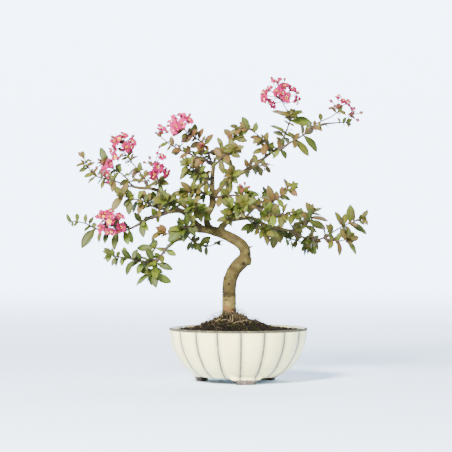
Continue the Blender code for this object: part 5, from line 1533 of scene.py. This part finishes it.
def turned_leaf(ahead, drawn, turn, share, chance):
    """A leaf like a drawn one, turned about its twig."""
    seat, tip, normal, length = drawn
    loose = stray(chance) * LEAF_LOOSENESS
    along = Matrix.Rotation(math.radians(turn), 3, ahead) @ (tip - seat) + loose * length
    seat = seat + ahead * chance.uniform(-1.0, 1.0) * LEAF_SHIFT * MM
    tip = seat + along.normalized() * length * share
    return seat, tip, leaf_normal(seat, tip, chance), length * share


def inside_box(place):
    """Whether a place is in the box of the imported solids."""
    return all(low <= value <= high for low, value, high in zip(LOWEST, place + AXIS, HIGHEST))


def leaf_company(name, shoot, drawn, leaf):
    """Leaves that go with the drawn ones: opposite and crosswise, and small ones at twig ends."""
    chance = random.Random("company of " + name)
    routes = twig_routes(shoot)
    runs = [(start[0], end[0]) for route in routes for start, end in zip(route, route[1:])]
    found = []
    for one in drawn:
        start, end = min(runs, key=lambda run: detour(one[0], run))
        ahead = (end - start).normalized()
        for turn, wanted in COMPANY:
            if chance.random() < wanted * leaf.company * COMPANY_SHARE.get(name, 1.0):
                found.append(turned_leaf(ahead, one, turn, chance.uniform(0.6, 0.95), chance))
    for route in routes:
        place, before = route[-1][0], route[-2][0]
        ahead = (place - before).normalized()
        for i in range(leaf.tip_leaves):
            loose = stray(chance)
            length = chance.uniform(*TIP_LENGTH) * MM
            tip = place + (ahead + 0.75 * loose).normalized() * length
            found.append((place, tip, leaf_normal(place, tip, chance), length))
    return [one for one in found if inside_box(one[1])]


def blade_mesh(name, outline, lift, across, along, thickness):
    """A closed blade of unit length from the origin along Y, with its upper face towards Z."""
    upper, lower, place_up, place_down = [], [], [], []
    for j in range(along + 1):
        v = j / along
        for i in range(across + 1):
            u = 2.0 * i / across - 1.0
            x, z = outline(v) * u, lift(u, v)
            rim = 0.5 * thickness * (1.0 - 0.6 * abs(u) ** 3)
            upper.append(Vector((x, v, z + rim)))
            lower.append(Vector((x, v, z - rim)))
            place_up.append((u, v, 0.0))
            place_down.append((u, v, 1.0))
    wide, count = across + 1, len(upper)
    faces = []
    for j in range(along):
        for i in range(across):
            a = j * wide + i
            faces.append((a, a + 1, a + wide + 1, a + wide))
            faces.append((count + a + wide, count + a + wide + 1, count + a + 1, count + a))
    border = [*range(wide)] + [j * wide + across for j in range(1, along + 1)]
    border += [along * wide + i for i in range(across - 1, -1, -1)]
    border += [j * wide for j in range(along - 1, 0, -1)]
    for a, b in zip(border, border[1:] + border[:1]):
        faces.append((a, count + a, count + b, b))
    draft = Draft()
    draft.add((upper + lower, faces), blade=place_up + place_down)
    return draft.mesh(name)


def leaf_blank(name, seed):
    """One leaf of unit length: blunt, keeled and a little wavy."""
    chance = random.Random(seed)
    keel = chance.uniform(0.1, 0.55)
    ripple = chance.uniform(0.006, 0.022)
    waves, phase = chance.uniform(1.4, 2.6), chance.uniform(0, math.tau)
    twist = chance.uniform(-0.12, 0.12)
    fullness = chance.uniform(0.9, 1.06)

    def outline(v):
        if v < 0.07:
            return 0.02
        share = (v - 0.07) / 0.93
        return max(0.02, 0.25 * fullness * math.sin(math.pi * min(share ** 0.95, 0.985)) ** 0.68)

    def lift(u, v):
        arch = 0.283 * v - 0.323 * v * v
        wide = outline(v)
        wave = ripple * math.sin(math.tau * waves * v + phase) * u * abs(u)
        return arch + keel * wide * (abs(u) ** 1.3 - 0.35) * 0.6 + wave + twist * u * wide * v

    return blade_mesh(name, outline, lift, 4, 8, 0.02)


def set_out(name, rows, blanks, material, slot, *nodes):
    """One piece of blanks set on points, from rows of place, turn, size, kind, tone and chance."""
    draft = Draft()
    draft.corners = [row[0] for row in rows]
    mesh = draft.mesh(name)
    for i, label in enumerate(("turn", "size", "kind", "tone", "chance"), 1):
        store(mesh, label, [tuple(row[i]) if i < 3 else row[i] for row in rows])
    piece = new_object(name, mesh)
    run_tree(piece, found_tree("Set on points", place_tree), blanks=blanks, material=material)
    finish_piece(piece, material, slot, *nodes)


def leaf_rows(name, shoot, leaf):
    """Points for the leaves of a shoot, in its own tone with some to and fro."""
    drawn = leaf_places(name, shoot)
    chance = random.Random("look of " + name)
    rows = []
    for seat, tip, normal, length in drawn + leaf_company(name, shoot, drawn, leaf):
        reach = (tip - seat).length
        droop = tip - normal * LEAF_DROOP * reach * 0.5
        turn = facing((droop - seat).normalized(), normal)
        tone = min(max(shoot.tone + chance.uniform(-0.3, 0.3), 0.0), 1.0)
        size = (length * leaf.width, reach, length)
        rows.append((seat, turn, size, chance.randrange(LEAF_KINDS), tone, chance.random()))
    return rows


def make_leaves(leaf):
    """The leaves of every shoot, one piece a shoot."""
    finish = leaf_finish(leaf)
    group = blanks_of("leaf_blank", [leaf_blank("leaf_blank%d" % i, 60 + i) for i in range(LEAF_KINDS)])
    for name, shoot in SHOOTS.items():
        if shoot.leaves:
            set_out("leaves_" + name, leaf_rows(name, shoot, leaf), group, finish, "leaf", name)
    drop_blanks(group)


def twig_width(name, radius, share):
    stout = 1.0 + STOUT_TWIGS.get(name, 0.0) * ramp(share, 0.5, 0.0)
    return radius * TWIG_SLIMNESS * stout * (1.0 - 0.18 * share) * MM


def knuckles(places, radii, seats):
    """Swell a twig a little where leaves leave it."""
    for i, place in enumerate(places):
        for seat in seats:
            radii[i] *= 1.0 + 0.28 * ramp((place - seat).length, 1.6 * MM, 0.3 * MM)
    return radii


def add_twigs(draft, name, shoot):
    """The twigs of a shoot, with a swelling under each leaf."""
    seats = [place[0] for place in leaf_places(name, shoot)]
    for twig in shoot.twigs:
        points = [metres(p) for p in twig]
        radii = [twig_width(name, radius, i / (len(points) - 1))
                 for i, radius in enumerate(tapered(len(points), shoot.radii))]
        places, widths = flowing(points, radii, 1.5 * MM, 2)
        draft.add(sweep(places, knuckles(places, widths, seats), 8),
                  tone=[0.8 * k / len(places) for k in range(len(places)) for m in range(8)])


def add_stalks(draft, head):
    """The stalk of a flower head, and a thin one for each floret and bud."""
    stem = [metres(p) for p in head.stalk]
    add_tube(draft, stem, tapered(len(stem), (0.8 * MM, 0.6 * MM)), 8, 1.5, 2, tone=0.9)
    stem = stem_after_spur(head)
    for place in head.florets + head.buds:
        middle = metres(place)
        root = nearest_place(stem, middle)
        bow = root.lerp(middle, 0.5) - upright(0.6 * MM)
        add_tube(draft, [root, bow, middle], tapered(3, (0.62 * MM, 0.5 * MM)), 6, 1.2, 1, tone=1.0)


def make_twigs(bark):
    """Every twig and flower stalk, from inside its limb to its tip."""
    draft = Draft()
    for name, shoot in SHOOTS.items():
        add_twigs(draft, name, shoot)
    for head in HEADS.values():
        add_stalks(draft, head)
    finish_piece(new_object("twigs", draft.mesh("twigs")), twig_finish(bark), "bark", "inner_left_twig")


# Flowers.

def stem_after_spur(head):
    stem = [metres(p) for p in head.stalk]
    return [place for place, radius in split_route(stem, [1.0] * len(stem), HEAD_SPUR * MM)]


def nearest_place(stem, place):
    """The place on a head's stem that a flower's own stalk leaves from."""
    half_way = stem[-2].lerp(stem[-1], 0.5)
    return min([*stem[1:], half_way], key=lambda joint: (joint - place).length)


def petal_blank(name, seed):
    """A petal of unit length: a narrow claw and a broad, crumpled blade."""
    chance = random.Random(seed)
    broad = chance.uniform(0.36, 0.46)
    waves, phase = chance.uniform(1.2, 2.0), chance.uniform(0.0, math.tau)
    shift = Vector((seed * 3.1, 0.0, 0.0))

    def outline(v):
        if v < 0.3:
            return 0.035
        share = (v - 0.3) / 0.7
        fringe = 1.0 + 0.1 * math.sin(21.0 * v + phase)
        return max(0.035, broad * fringe * math.sin(math.pi * min(0.06 + 0.9 * share, 0.96)) ** 0.6)

    def lift(u, v):
        blade = ramp(v, 0.3, 0.6)
        crumple = 0.34 * noise.noise(Vector((u * 1.9, v * 5.0, 0.0)) + shift)
        ruffle = 0.15 * math.sin(math.tau * waves * u + phase) * blade
        return 0.42 * v - 0.5 * v * v + blade * crumple + ruffle * v

    mesh = blade_mesh(name, outline, lift, 6, 7, 0.03)
    ragged = random.Random(seed + 7)
    for corner in mesh.vertices:
        corner.co.x += ragged.uniform(-0.012, 0.012) * corner.co.y
    return mesh


def stamen_blank(name):
    """A thread with an anther at its end, of unit length along Y."""
    draft = Draft()
    thread = [Vector((0, 0, 0)), Vector((0, 0.5, 0.04)), Vector((0, 0.9, 0))]
    anther = [Vector((0, y, 0)) for y in (0.82, 0.88, 0.98, 1.04)]
    draft.add(sweep(thread, [0.03, 0.026, 0.022], 4), blade=(0.0, 0.1, 0.0))
    draft.add(sweep(anther, [0.05, 0.13, 0.12, 0.03], 6), blade=(0.0, 1.0, 0.0))
    return draft.mesh(name)


def ribbed_cup(profile, rib_depth, fatness=1.0):
    """A draft with a tube of six ribs along Y, from its places and radii."""
    draft = Draft()
    middles, radii = [Vector((0, y, 0)) for y, r in profile], [r * fatness for y, r in profile]
    shape = sweep(middles, radii, 18, 6, rib_depth)
    draft.add(shape, blade=[(0.0, corner.y, 0.0) for corner in shape[0]])
    return draft


def calyx_blank(name):
    """A ribbed cup with six points under a floret, of unit length along Y."""
    draft = ribbed_cup(CALYX, 0.18)
    for i in range(PETALS):
        a = math.tau * i / PETALS
        ahead = Vector((math.cos(a), 0.0, math.sin(a)))
        root = ahead * 0.42 + Vector((0.0, 0.92, 0.0))
        tip = ahead * 0.8 + Vector((0.0, 1.25, 0.0))
        draft.add(sweep([root, root.lerp(tip, 0.5), tip], [0.2, 0.16, 0.02], 5), blade=(0.0, 1.0, 0.0))
    return draft.mesh(name)


def bud_blank(name, seed):
    """A ribbed bud of unit length along Y, ending in a point."""
    return ribbed_cup(BUD, 0.14, random.Random(seed).uniform(0.9, 1.1)).mesh(name)


def all_florets(name, head):
    """A head's florets, with smaller ones between neighbours; the share is a floret's size."""
    look = random.Random("florets of " + name)
    drawn = [metres(place) for place in head.florets]
    found = [(place, 1.0) for place in drawn]
    for i, place in enumerate(drawn):
        others = [other for k, other in enumerate(drawn) if k != i]
        if others and look.random() < EXTRA_FLORETS:
            near = min(others, key=lambda other: (other - place).length)
            loose = stray(look) * 3.0 * MM
            found.append((place.lerp(near, 0.5) + loose, look.uniform(0.7, 0.95)))
    return found


def floret_axis(middle, crown):
    return ((middle - crown).normalized() + Vector((0.0, -0.7, 0.25))).normalized()


def set_along(place, along, length, kind, tone, chance):
    """A row for a blank that points along a direction, turned about it anyhow."""
    return place, facing(along, along.orthogonal()), (length,) * 3, kind, tone, chance


def petal_rows(name, head):
    """Points for the petals of a head, as its solid has them."""
    chance = random.Random(name)
    look = random.Random("look of " + name)
    crown = stem_after_spur(head)[-1]
    rows = []
    for middle, share in all_florets(name, head):
        axis = floret_axis(middle, crown)
        across = axis.orthogonal().normalized()
        start = chance.uniform(0.0, 360.0)
        paleness = (0.45 + 0.55 * look.random()) * PALE_HEADS.get(name, 0.3)
        share *= SMALL_HEADS.get(name, 1.0)
        for i in range(PETALS):
            ahead = Matrix.Rotation(math.radians(start + i * 360.0 / PETALS), 3, axis) @ across
            reach = PETAL_LENGTH * chance.uniform(0.9, 1.1)
            lift = PETAL_LIFT * chance.uniform(0.6, 1.4)
            loose = stray(look)
            tip = ahead * reach * look.uniform(0.8, 1.0) + axis * (lift + look.uniform(-1.8, 3.4))
            turn = facing(tip.normalized(), (axis + 0.6 * loose).normalized())
            size = (tip.length * share * MM,) * 3
            rows.append((middle, turn, size, look.randrange(PETAL_KINDS), paleness, look.random()))
    return rows


def stamen_rows(name, head):
    """Points for the stamens in the middle of each floret."""
    look = random.Random("stamens of " + name)
    crown = stem_after_spur(head)[-1]
    rows = []
    for middle, share in all_florets(name, head):
        axis = floret_axis(middle, crown)
        for i in range(STAMENS):
            along = (axis + 0.55 * stray(look)).normalized()
            length = look.uniform(2.4, 4.2) * MM
            rows.append(set_along(middle, along, length, 0, look.random(), look.random()))
    return rows


def tuft_rows():
    """Points for the fullest tufts of anthers, which face the viewer."""
    look = random.Random("tufts")
    rows = []
    for x, y, z, spread in GOLD_TUFTS:
        for i in range(TUFT_THREADS):
            along = (Vector((0.0, -1.0, 0.15)) + 0.8 * stray(look)).normalized()
            length = look.uniform(0.8, 1.2) * spread * MM
            place = metres((x, y, z)) - along * 0.4 * length
            rows.append(set_along(place, along, length, 0, look.random(), look.random()))
    return rows


def sepal_rows(name, head):
    """Points for a head's calyxes, small leaves and buds."""
    look = random.Random("sepals of " + name)
    stem = stem_after_spur(head)
    crown = stem[-1]
    rows = []
    for middle, share in all_florets(name, head):
        axis = floret_axis(middle, crown)
        length = look.uniform(3.4, 4.2) * MM
        back = (0.6 * axis + 0.4 * (middle - crown).normalized()).normalized()
        place = middle - back * length * 0.95
        rows.append(set_along(place, back, length, 0, 0.2 * look.random(), look.random()))
    for i in range(BRACTS):
        place = stem[-2].lerp(crown, look.uniform(0.1, 1.05))
        ahead = ((crown - stem[-2]).normalized() + stray(look)).normalized()
        length = look.uniform(*BRACT_LENGTH) * MM
        turn = facing(ahead, leaf_normal(place, place + ahead * MM, look))
        size = (length * 1.1, length, length)
        rows.append((place, turn, size, 1 + BUD_KINDS, 0.5 * look.random(), look.random()))
    for place in head.buds:
        middle = metres(place)
        ahead = (middle - nearest_place(stem, middle)).normalized()
        length = look.uniform(4.8, 6.0) * MM
        tone = min(max(BUD_TONES.get(name, 0.35) + look.uniform(-0.2, 0.2), 0.0), 1.0)
        rows.append(set_along(middle - ahead * 0.5 * length, ahead, length, 1 + look.randrange(BUD_KINDS),
                              tone, look.random()))
    return rows


def make_flowers(flower):
    """Petals, calyxes with buds, and stamens."""
    petals = blanks_of("petal_blank", [petal_blank("petal_blank%d" % i, 80 + i) for i in range(PETAL_KINDS)])
    buds = [bud_blank("bud%d" % i, 90 + i) for i in range(BUD_KINDS)]
    sepals = blanks_of("sepal_blank", [calyx_blank("calyx"), *buds, leaf_blank("bract", 70)])
    stamens = blanks_of("stamen_blank", [stamen_blank("stamen")])
    petal, bud, gold = petal_finish(flower), bud_finish(flower), stamen_finish(flower)
    threads = tuft_rows()
    for name, head in HEADS.items():
        solids = [] if head.florets else [name]
        set_out("sepals_" + name, sepal_rows(name, head), sepals, bud, "bud", *solids)
        if head.florets:
            threads += stamen_rows(name, head)
            set_out("petals_" + name, petal_rows(name, head), petals, petal, "petal", name)
    set_out("stamens", threads, stamens, gold, "petal")
    for group in (petals, sepals, stamens):
        drop_blanks(group)


# Stage.

def bowl_mesh(radius, cove, height):
    """A round floor that curves up into a low wall."""
    rings = [(0.02, 0.0), (0.6, 0.0), (1.6, 0.0), (radius - cove, 0.0)]
    for i in range(1, COVE_STEPS + 1):
        a = math.radians(90.0 * i / COVE_STEPS)
        rings.append((radius - cove + cove * math.sin(a), cove - cove * math.cos(a)))
    rings.append((radius, height))
    turns = [math.tau * k / FLOOR_STEPS for k in range(FLOOR_STEPS)]
    corners = [Vector((r * math.cos(turn), r * math.sin(turn), z)) for r, z in rings for turn in turns]
    draft = Draft()
    draft.add((corners, [*ring_faces(len(rings), FLOOR_STEPS, inward=True), tuple(range(FLOOR_STEPS))]))
    return draft.mesh("floor")


def area_lamp(name, place, target, size, power, colour):
    lamp = bpy.data.lights.new(name, "AREA")
    lamp.shape = "DISK"
    lamp.size = size
    lamp.energy = power
    lamp.color = colour
    made = new_object(name, lamp)
    made.location = place
    made.rotation_euler = (target - place).to_track_quat("-Z", "Y").to_euler()


def make_floor(stage):
    floor = new_object("floor", bowl_mesh(stage.floor_radius, 1.6, 2.6))
    for corner in floor.data.vertices:
        corner.co += AXIS
    floor.data.polygons.foreach_set("use_smooth", [True] * len(floor.data.polygons))
    paint = Finish("floor_paint", Roughness=0.9, Specular_IOR_Level=0.1)
    paint.feed("Base Color", paint.patches(stage.backdrop, stage.backdrop_shade, 0.35, 0.5, 0.3))
    depth = out(paint.tree, "ShaderNodeSeparateXYZ", {"Vector": paint.place}, "Y")
    paint.feed("Emission Strength", depth.step(0.2, 4.2) * stage.backdrop_glow)
    paint.feed("Emission Color", stage.backdrop)
    floor.data.materials.append(paint.material)


def light_stage(stage):
    for name, place, size, power, colour in LAMPS:
        area_lamp(name, AXIS + Vector(place), AXIS + upright(0.22), size, power * stage.light, colour)
    world = bpy.data.worlds.new("studio")
    world.use_nodes = True
    sky = world.node_tree.nodes["Background"]
    sky.inputs["Color"].default_value = (*stage.sky, 1.0)
    sky.inputs["Strength"].default_value = stage.sky_light
    bpy.context.scene.world = world


def make_camera(stage):
    camera = new_object("camera", bpy.data.cameras.new("camera"))
    camera.data.lens = stage.lens
    camera.data.sensor_width = 36.0
    camera.data.clip_end = 40.0
    camera.location = AXIS + Vector((-0.016, -stage.distance, stage.eye_height))
    camera.rotation_euler = (math.radians(90.0), 0.0, 0.0)
    bpy.context.scene.camera = camera


def make_stage(stage):
    make_floor(stage)
    light_stage(stage)
    make_camera(stage)


# Settings.

def colour_setting(name, description, value):
    return FloatVectorProperty(name=name, description=description, subtype="COLOR", size=3, min=0.0, max=1.0,
                               default=value)


def length_setting(name, description, value):
    return number_setting(name, description, value, unit="LENGTH")


def number_setting(name, description, value, low=0.0, unit="NONE"):
    return FloatProperty(name=name, description=description, default=value, min=low, unit=unit)


class BonsaiPotSettings(PropertyGroup):
    lobes: IntProperty(name="Lobes", description="Lobes round the pot's wall", default=LOBES, min=3)
    groove_depth: length_setting("Groove depth", "How far the grooves lie below the lobes", 0.0026)
    glaze: colour_setting("Glaze", "Cream glaze where it lies thick", (0.88, 0.78, 0.36))
    glaze_shade: colour_setting("Glaze shade", "The glaze's cooler patches", (0.80, 0.70, 0.29))
    # Painted shade beside the grooves, for the shading of the lobes.
    thin_glaze: colour_setting("Thin glaze", "Glaze beside the grooves", (0.36, 0.32, 0.20))
    edge: colour_setting("Edge", "Where the glaze breaks over grooves and rim", (0.04, 0.036, 0.02))
    # Painted shade for the inner wall, which lies in the rim's shadow.
    inner: colour_setting("Inner glaze", "Thin stained glaze on the inside", (0.17, 0.155, 0.08))
    clay: colour_setting("Clay", "Bare clay of the feet", (0.10, 0.076, 0.062))
    clay_dark: colour_setting("Clay shade", "Darker patches of the clay", (0.055, 0.039, 0.03))
    net: colour_setting("Drain net", "The net over the drain hole", (0.02, 0.02, 0.019))


class BonsaiSoilSettings(PropertyGroup):
    crumb_density: number_setting("Crumbs", "Crumbs on a square metre", 190000.0)
    chip_density: number_setting("Chips", "Bark chips on a square metre", 4200.0)
    moss_density: number_setting("Moss", "Tufts on a square metre", 380000.0)
    roots: IntProperty(name="Roots", description="Roots over the mound", default=64, min=0)
    fibres: IntProperty(name="Fibres", description="Fine fibres that stand up", default=340, min=0)
    # The soil's colours are kept near black: the damp soil's own colour with painted shade for the shadow
    # under the canopy and the rim.
    dark: colour_setting("Soil", "Damp soil", (0.0024, 0.0020, 0.0012))
    light: colour_setting("Dry soil", "Drier soil", (0.0062, 0.0046, 0.0024))
    grit: colour_setting("Grit", "Lighter crumbs", (0.012, 0.0085, 0.0045))
    chip: colour_setting("Chip", "Bark chips", (0.12, 0.078, 0.032))
    chip_dark: colour_setting("Chip shade", "Darker bark chips", (0.018, 0.010, 0.0045))
    moss: colour_setting("Moss", "Moss tips", (0.026, 0.032, 0.004))
    moss_dark: colour_setting("Moss shade", "Moss in shade", (0.006, 0.0085, 0.0012))
    root: colour_setting("Root", "Pale roots", (0.34, 0.26, 0.13))
    root_dark: colour_setting("Root shade", "Dark fibres", (0.022, 0.013, 0.008))


class BonsaiBarkSettings(PropertyGroup):
    skin: length_setting("Skin", "Size of the faces of the trunk's skin", 0.0006)
    pale: colour_setting("Bark pale", "Palest bark above the roots", (0.13, 0.098, 0.028))
    light: colour_setting("Bark light", "Pale smooth bark", (0.078, 0.060, 0.016))
    tan: colour_setting("Bark tan", "Tan bark", (0.045, 0.032, 0.008))
    grey: colour_setting("Bark grey", "Greyish patches", (0.042, 0.031, 0.013))
    # Brown of the flecks, also used as painted shade in the hollows of the relief.
    brown: colour_setting("Bark brown", "Hollows and flecks", (0.013, 0.007, 0.0025))
    orange: colour_setting("Bark orange", "Freshly flaked bark", (0.12, 0.036, 0.014))
    scar: colour_setting("Scar", "Old cuts", (0.009, 0.005, 0.0022))
    twig: colour_setting("Twig", "Young wood", (0.052, 0.037, 0.024))
    green_twig: colour_setting("Twig tip", "Growing tips", (0.045, 0.022, 0.012))


class BonsaiLeafSettings(PropertyGroup):
    width: number_setting("Width", "Width of the leaves, 1 as in the solids", 1.02, low=0.1)
    company: number_setting("Company", "How many leaves go with the drawn ones", 1.0)
    tip_leaves: IntProperty(name="Tip leaves", description="Small leaves at a twig's end", default=3, min=0)
    green: colour_setting("Green", "Bright green", (0.078, 0.104, 0.007))
    deep: colour_setting("Deep green", "Darker green", (0.019, 0.027, 0.003))
    olive: colour_setting("Olive", "Olive leaves", (0.064, 0.057, 0.009))
    bronze: colour_setting("Bronze", "Bronze leaves", (0.086, 0.045, 0.014))
    red: colour_setting("Red", "Flushed edges", (0.10, 0.026, 0.010))
    vein: colour_setting("Vein", "Midrib and ribs", (0.125, 0.135, 0.035))
    under: colour_setting("Underside", "Pale undersides", (0.085, 0.092, 0.026))


class BonsaiFlowerSettings(PropertyGroup):
    deep: colour_setting("Deep pink", "Deep petals", (0.11, 0.0005, 0.013))
    pink: colour_setting("Pink", "Bright petals", (0.235, 0.0008, 0.040))
    pale: colour_setting("Pale pink", "Pale petals", (0.43, 0.020, 0.125))
    claw: colour_setting("Claw", "Narrow foot of a petal", (0.18, 0.006, 0.008))
    calyx: colour_setting("Calyx", "Calyxes and buds", (0.095, 0.024, 0.010))
    calyx_green: colour_setting("Calyx foot", "Greener foot of a bud", (0.07, 0.042, 0.009))
    rust: colour_setting("Rust", "Rusty patches", (0.11, 0.018, 0.008))
    crimson: colour_setting("Crimson", "Ripe buds", (0.17, 0.003, 0.012))
    gold: colour_setting("Stamens", "Anthers", (0.66, 0.27, 0.012))


class BonsaiStageSettings(PropertyGroup):
    lens: number_setting("Lens", "Focal length in millimetres", 153.2, low=1.0)
    distance: length_setting("Distance", "Camera to the pot's axis", 2.5)
    eye_height: length_setting("Eye height", "Camera above the feet", 0.2024)
    floor_radius: length_setting("Floor radius", "Radius of the round floor", 5.0)
    light: number_setting("Light", "Strength of the lamps", 1.0)
    sky_light: number_setting("Sky light", "Strength of the light from all round", 0.32)
    sky: colour_setting("Sky", "Colour of the light from all round", (0.86, 0.92, 1.0))
    backdrop: colour_setting("Backdrop", "Floor and backdrop", (0.72, 0.84, 1.0))
    backdrop_shade: colour_setting("Backdrop shade", "Its slightly darker parts", (0.70, 0.82, 0.98))
    backdrop_glow: number_setting("Backdrop glow", "Light that the backdrop gives off", 5.0)


# Operators, panel and run.

SETTINGS = {
    "bonsai_pot": BonsaiPotSettings,
    "bonsai_soil": BonsaiSoilSettings,
    "bonsai_bark": BonsaiBarkSettings,
    "bonsai_leaf": BonsaiLeafSettings,
    "bonsai_flower": BonsaiFlowerSettings,
    "bonsai_stage": BonsaiStageSettings,
}


class BONSAI_OT_pot(Operator):
    """Make the glazed pot with its lobes and feet"""
    bl_idname = "bonsai.pot"
    bl_label = "Pot"

    def execute(self, context):
        make_pot(context.scene.bonsai_pot)
        return {"FINISHED"}


class BONSAI_OT_drain_mesh(Operator):
    """Give the net over the drain hole its finish"""
    bl_idname = "bonsai.drain_mesh"
    bl_label = "Drain net"

    def execute(self, context):
        dress_drain_mesh(context.scene.bonsai_pot)
        return {"FINISHED"}


class BONSAI_OT_soil(Operator):
    """Make the mound of soil with crumbs, bark chips and moss"""
    bl_idname = "bonsai.soil"
    bl_label = "Soil and moss"

    def execute(self, context):
        make_soil(context.scene.bonsai_soil)
        return {"FINISHED"}


class BONSAI_OT_roots(Operator):
    """Lay roots and fibres over the mound"""
    bl_idname = "bonsai.roots"
    bl_label = "Roots"

    def execute(self, context):
        make_roots(context.scene.bonsai_soil)
        return {"FINISHED"}


class BONSAI_OT_trunk(Operator):
    """Make the trunk and its main limbs in one skin of bark"""
    bl_idname = "bonsai.trunk"
    bl_label = "Trunk and limbs"

    def execute(self, context):
        make_trunk(context.scene.bonsai_bark)
        return {"FINISHED"}


class BONSAI_OT_twigs(Operator):
    """Make the twigs and the stalks of the flowers"""
    bl_idname = "bonsai.twigs"
    bl_label = "Twigs"

    def execute(self, context):
        make_twigs(context.scene.bonsai_bark)
        return {"FINISHED"}


class BONSAI_OT_leaves(Operator):
    """Set the leaves on every shoot"""
    bl_idname = "bonsai.leaves"
    bl_label = "Leaves"

    def execute(self, context):
        make_leaves(context.scene.bonsai_leaf)
        return {"FINISHED"}


class BONSAI_OT_flowers(Operator):
    """Make the flower heads with petals, stamens, calyxes and buds"""
    bl_idname = "bonsai.flowers"
    bl_label = "Flowers"

    def execute(self, context):
        make_flowers(context.scene.bonsai_flower)
        return {"FINISHED"}


class BONSAI_OT_stage(Operator):
    """Make the floor, the lights and the camera"""
    bl_idname = "bonsai.stage"
    bl_label = "Stage"

    def execute(self, context):
        make_stage(context.scene.bonsai_stage)
        return {"FINISHED"}


OPERATORS = (
    BONSAI_OT_pot, BONSAI_OT_drain_mesh, BONSAI_OT_soil, BONSAI_OT_roots, BONSAI_OT_trunk, BONSAI_OT_twigs,
    BONSAI_OT_leaves, BONSAI_OT_flowers, BONSAI_OT_stage,
)


class BONSAI_PT_panel(Panel):
    """Lists the pieces and their settings"""
    bl_idname = "BONSAI_PT_panel"
    bl_label = "Crepe myrtle bonsai"
    bl_space_type = "VIEW_3D"
    bl_region_type = "UI"
    bl_category = "Bonsai"

    def draw(self, context):
        for operator in OPERATORS:
            self.layout.operator(operator.bl_idname)
        for label in SETTINGS:
            box = self.layout.box()
            settings = getattr(context.scene, label)
            for setting in settings.bl_rna.properties:
                if setting.identifier not in ("rna_type", "name"):
                    box.prop(settings, setting.identifier)


def register():
    for kind in (*SETTINGS.values(), *OPERATORS, BONSAI_PT_panel):
        bpy.utils.register_class(kind)
    for label, kind in SETTINGS.items():
        setattr(bpy.types.Scene, label, PointerProperty(type=kind))


def unregister():
    for label in SETTINGS:
        delattr(bpy.types.Scene, label)
    for kind in reversed((*SETTINGS.values(), *OPERATORS, BONSAI_PT_panel)):
        bpy.utils.unregister_class(kind)


def main():
    register()
    for operator in OPERATORS:
        family, name = operator.bl_idname.split(".")
        getattr(getattr(bpy.ops, family), name)()


if __name__ == "__main__":
    main()
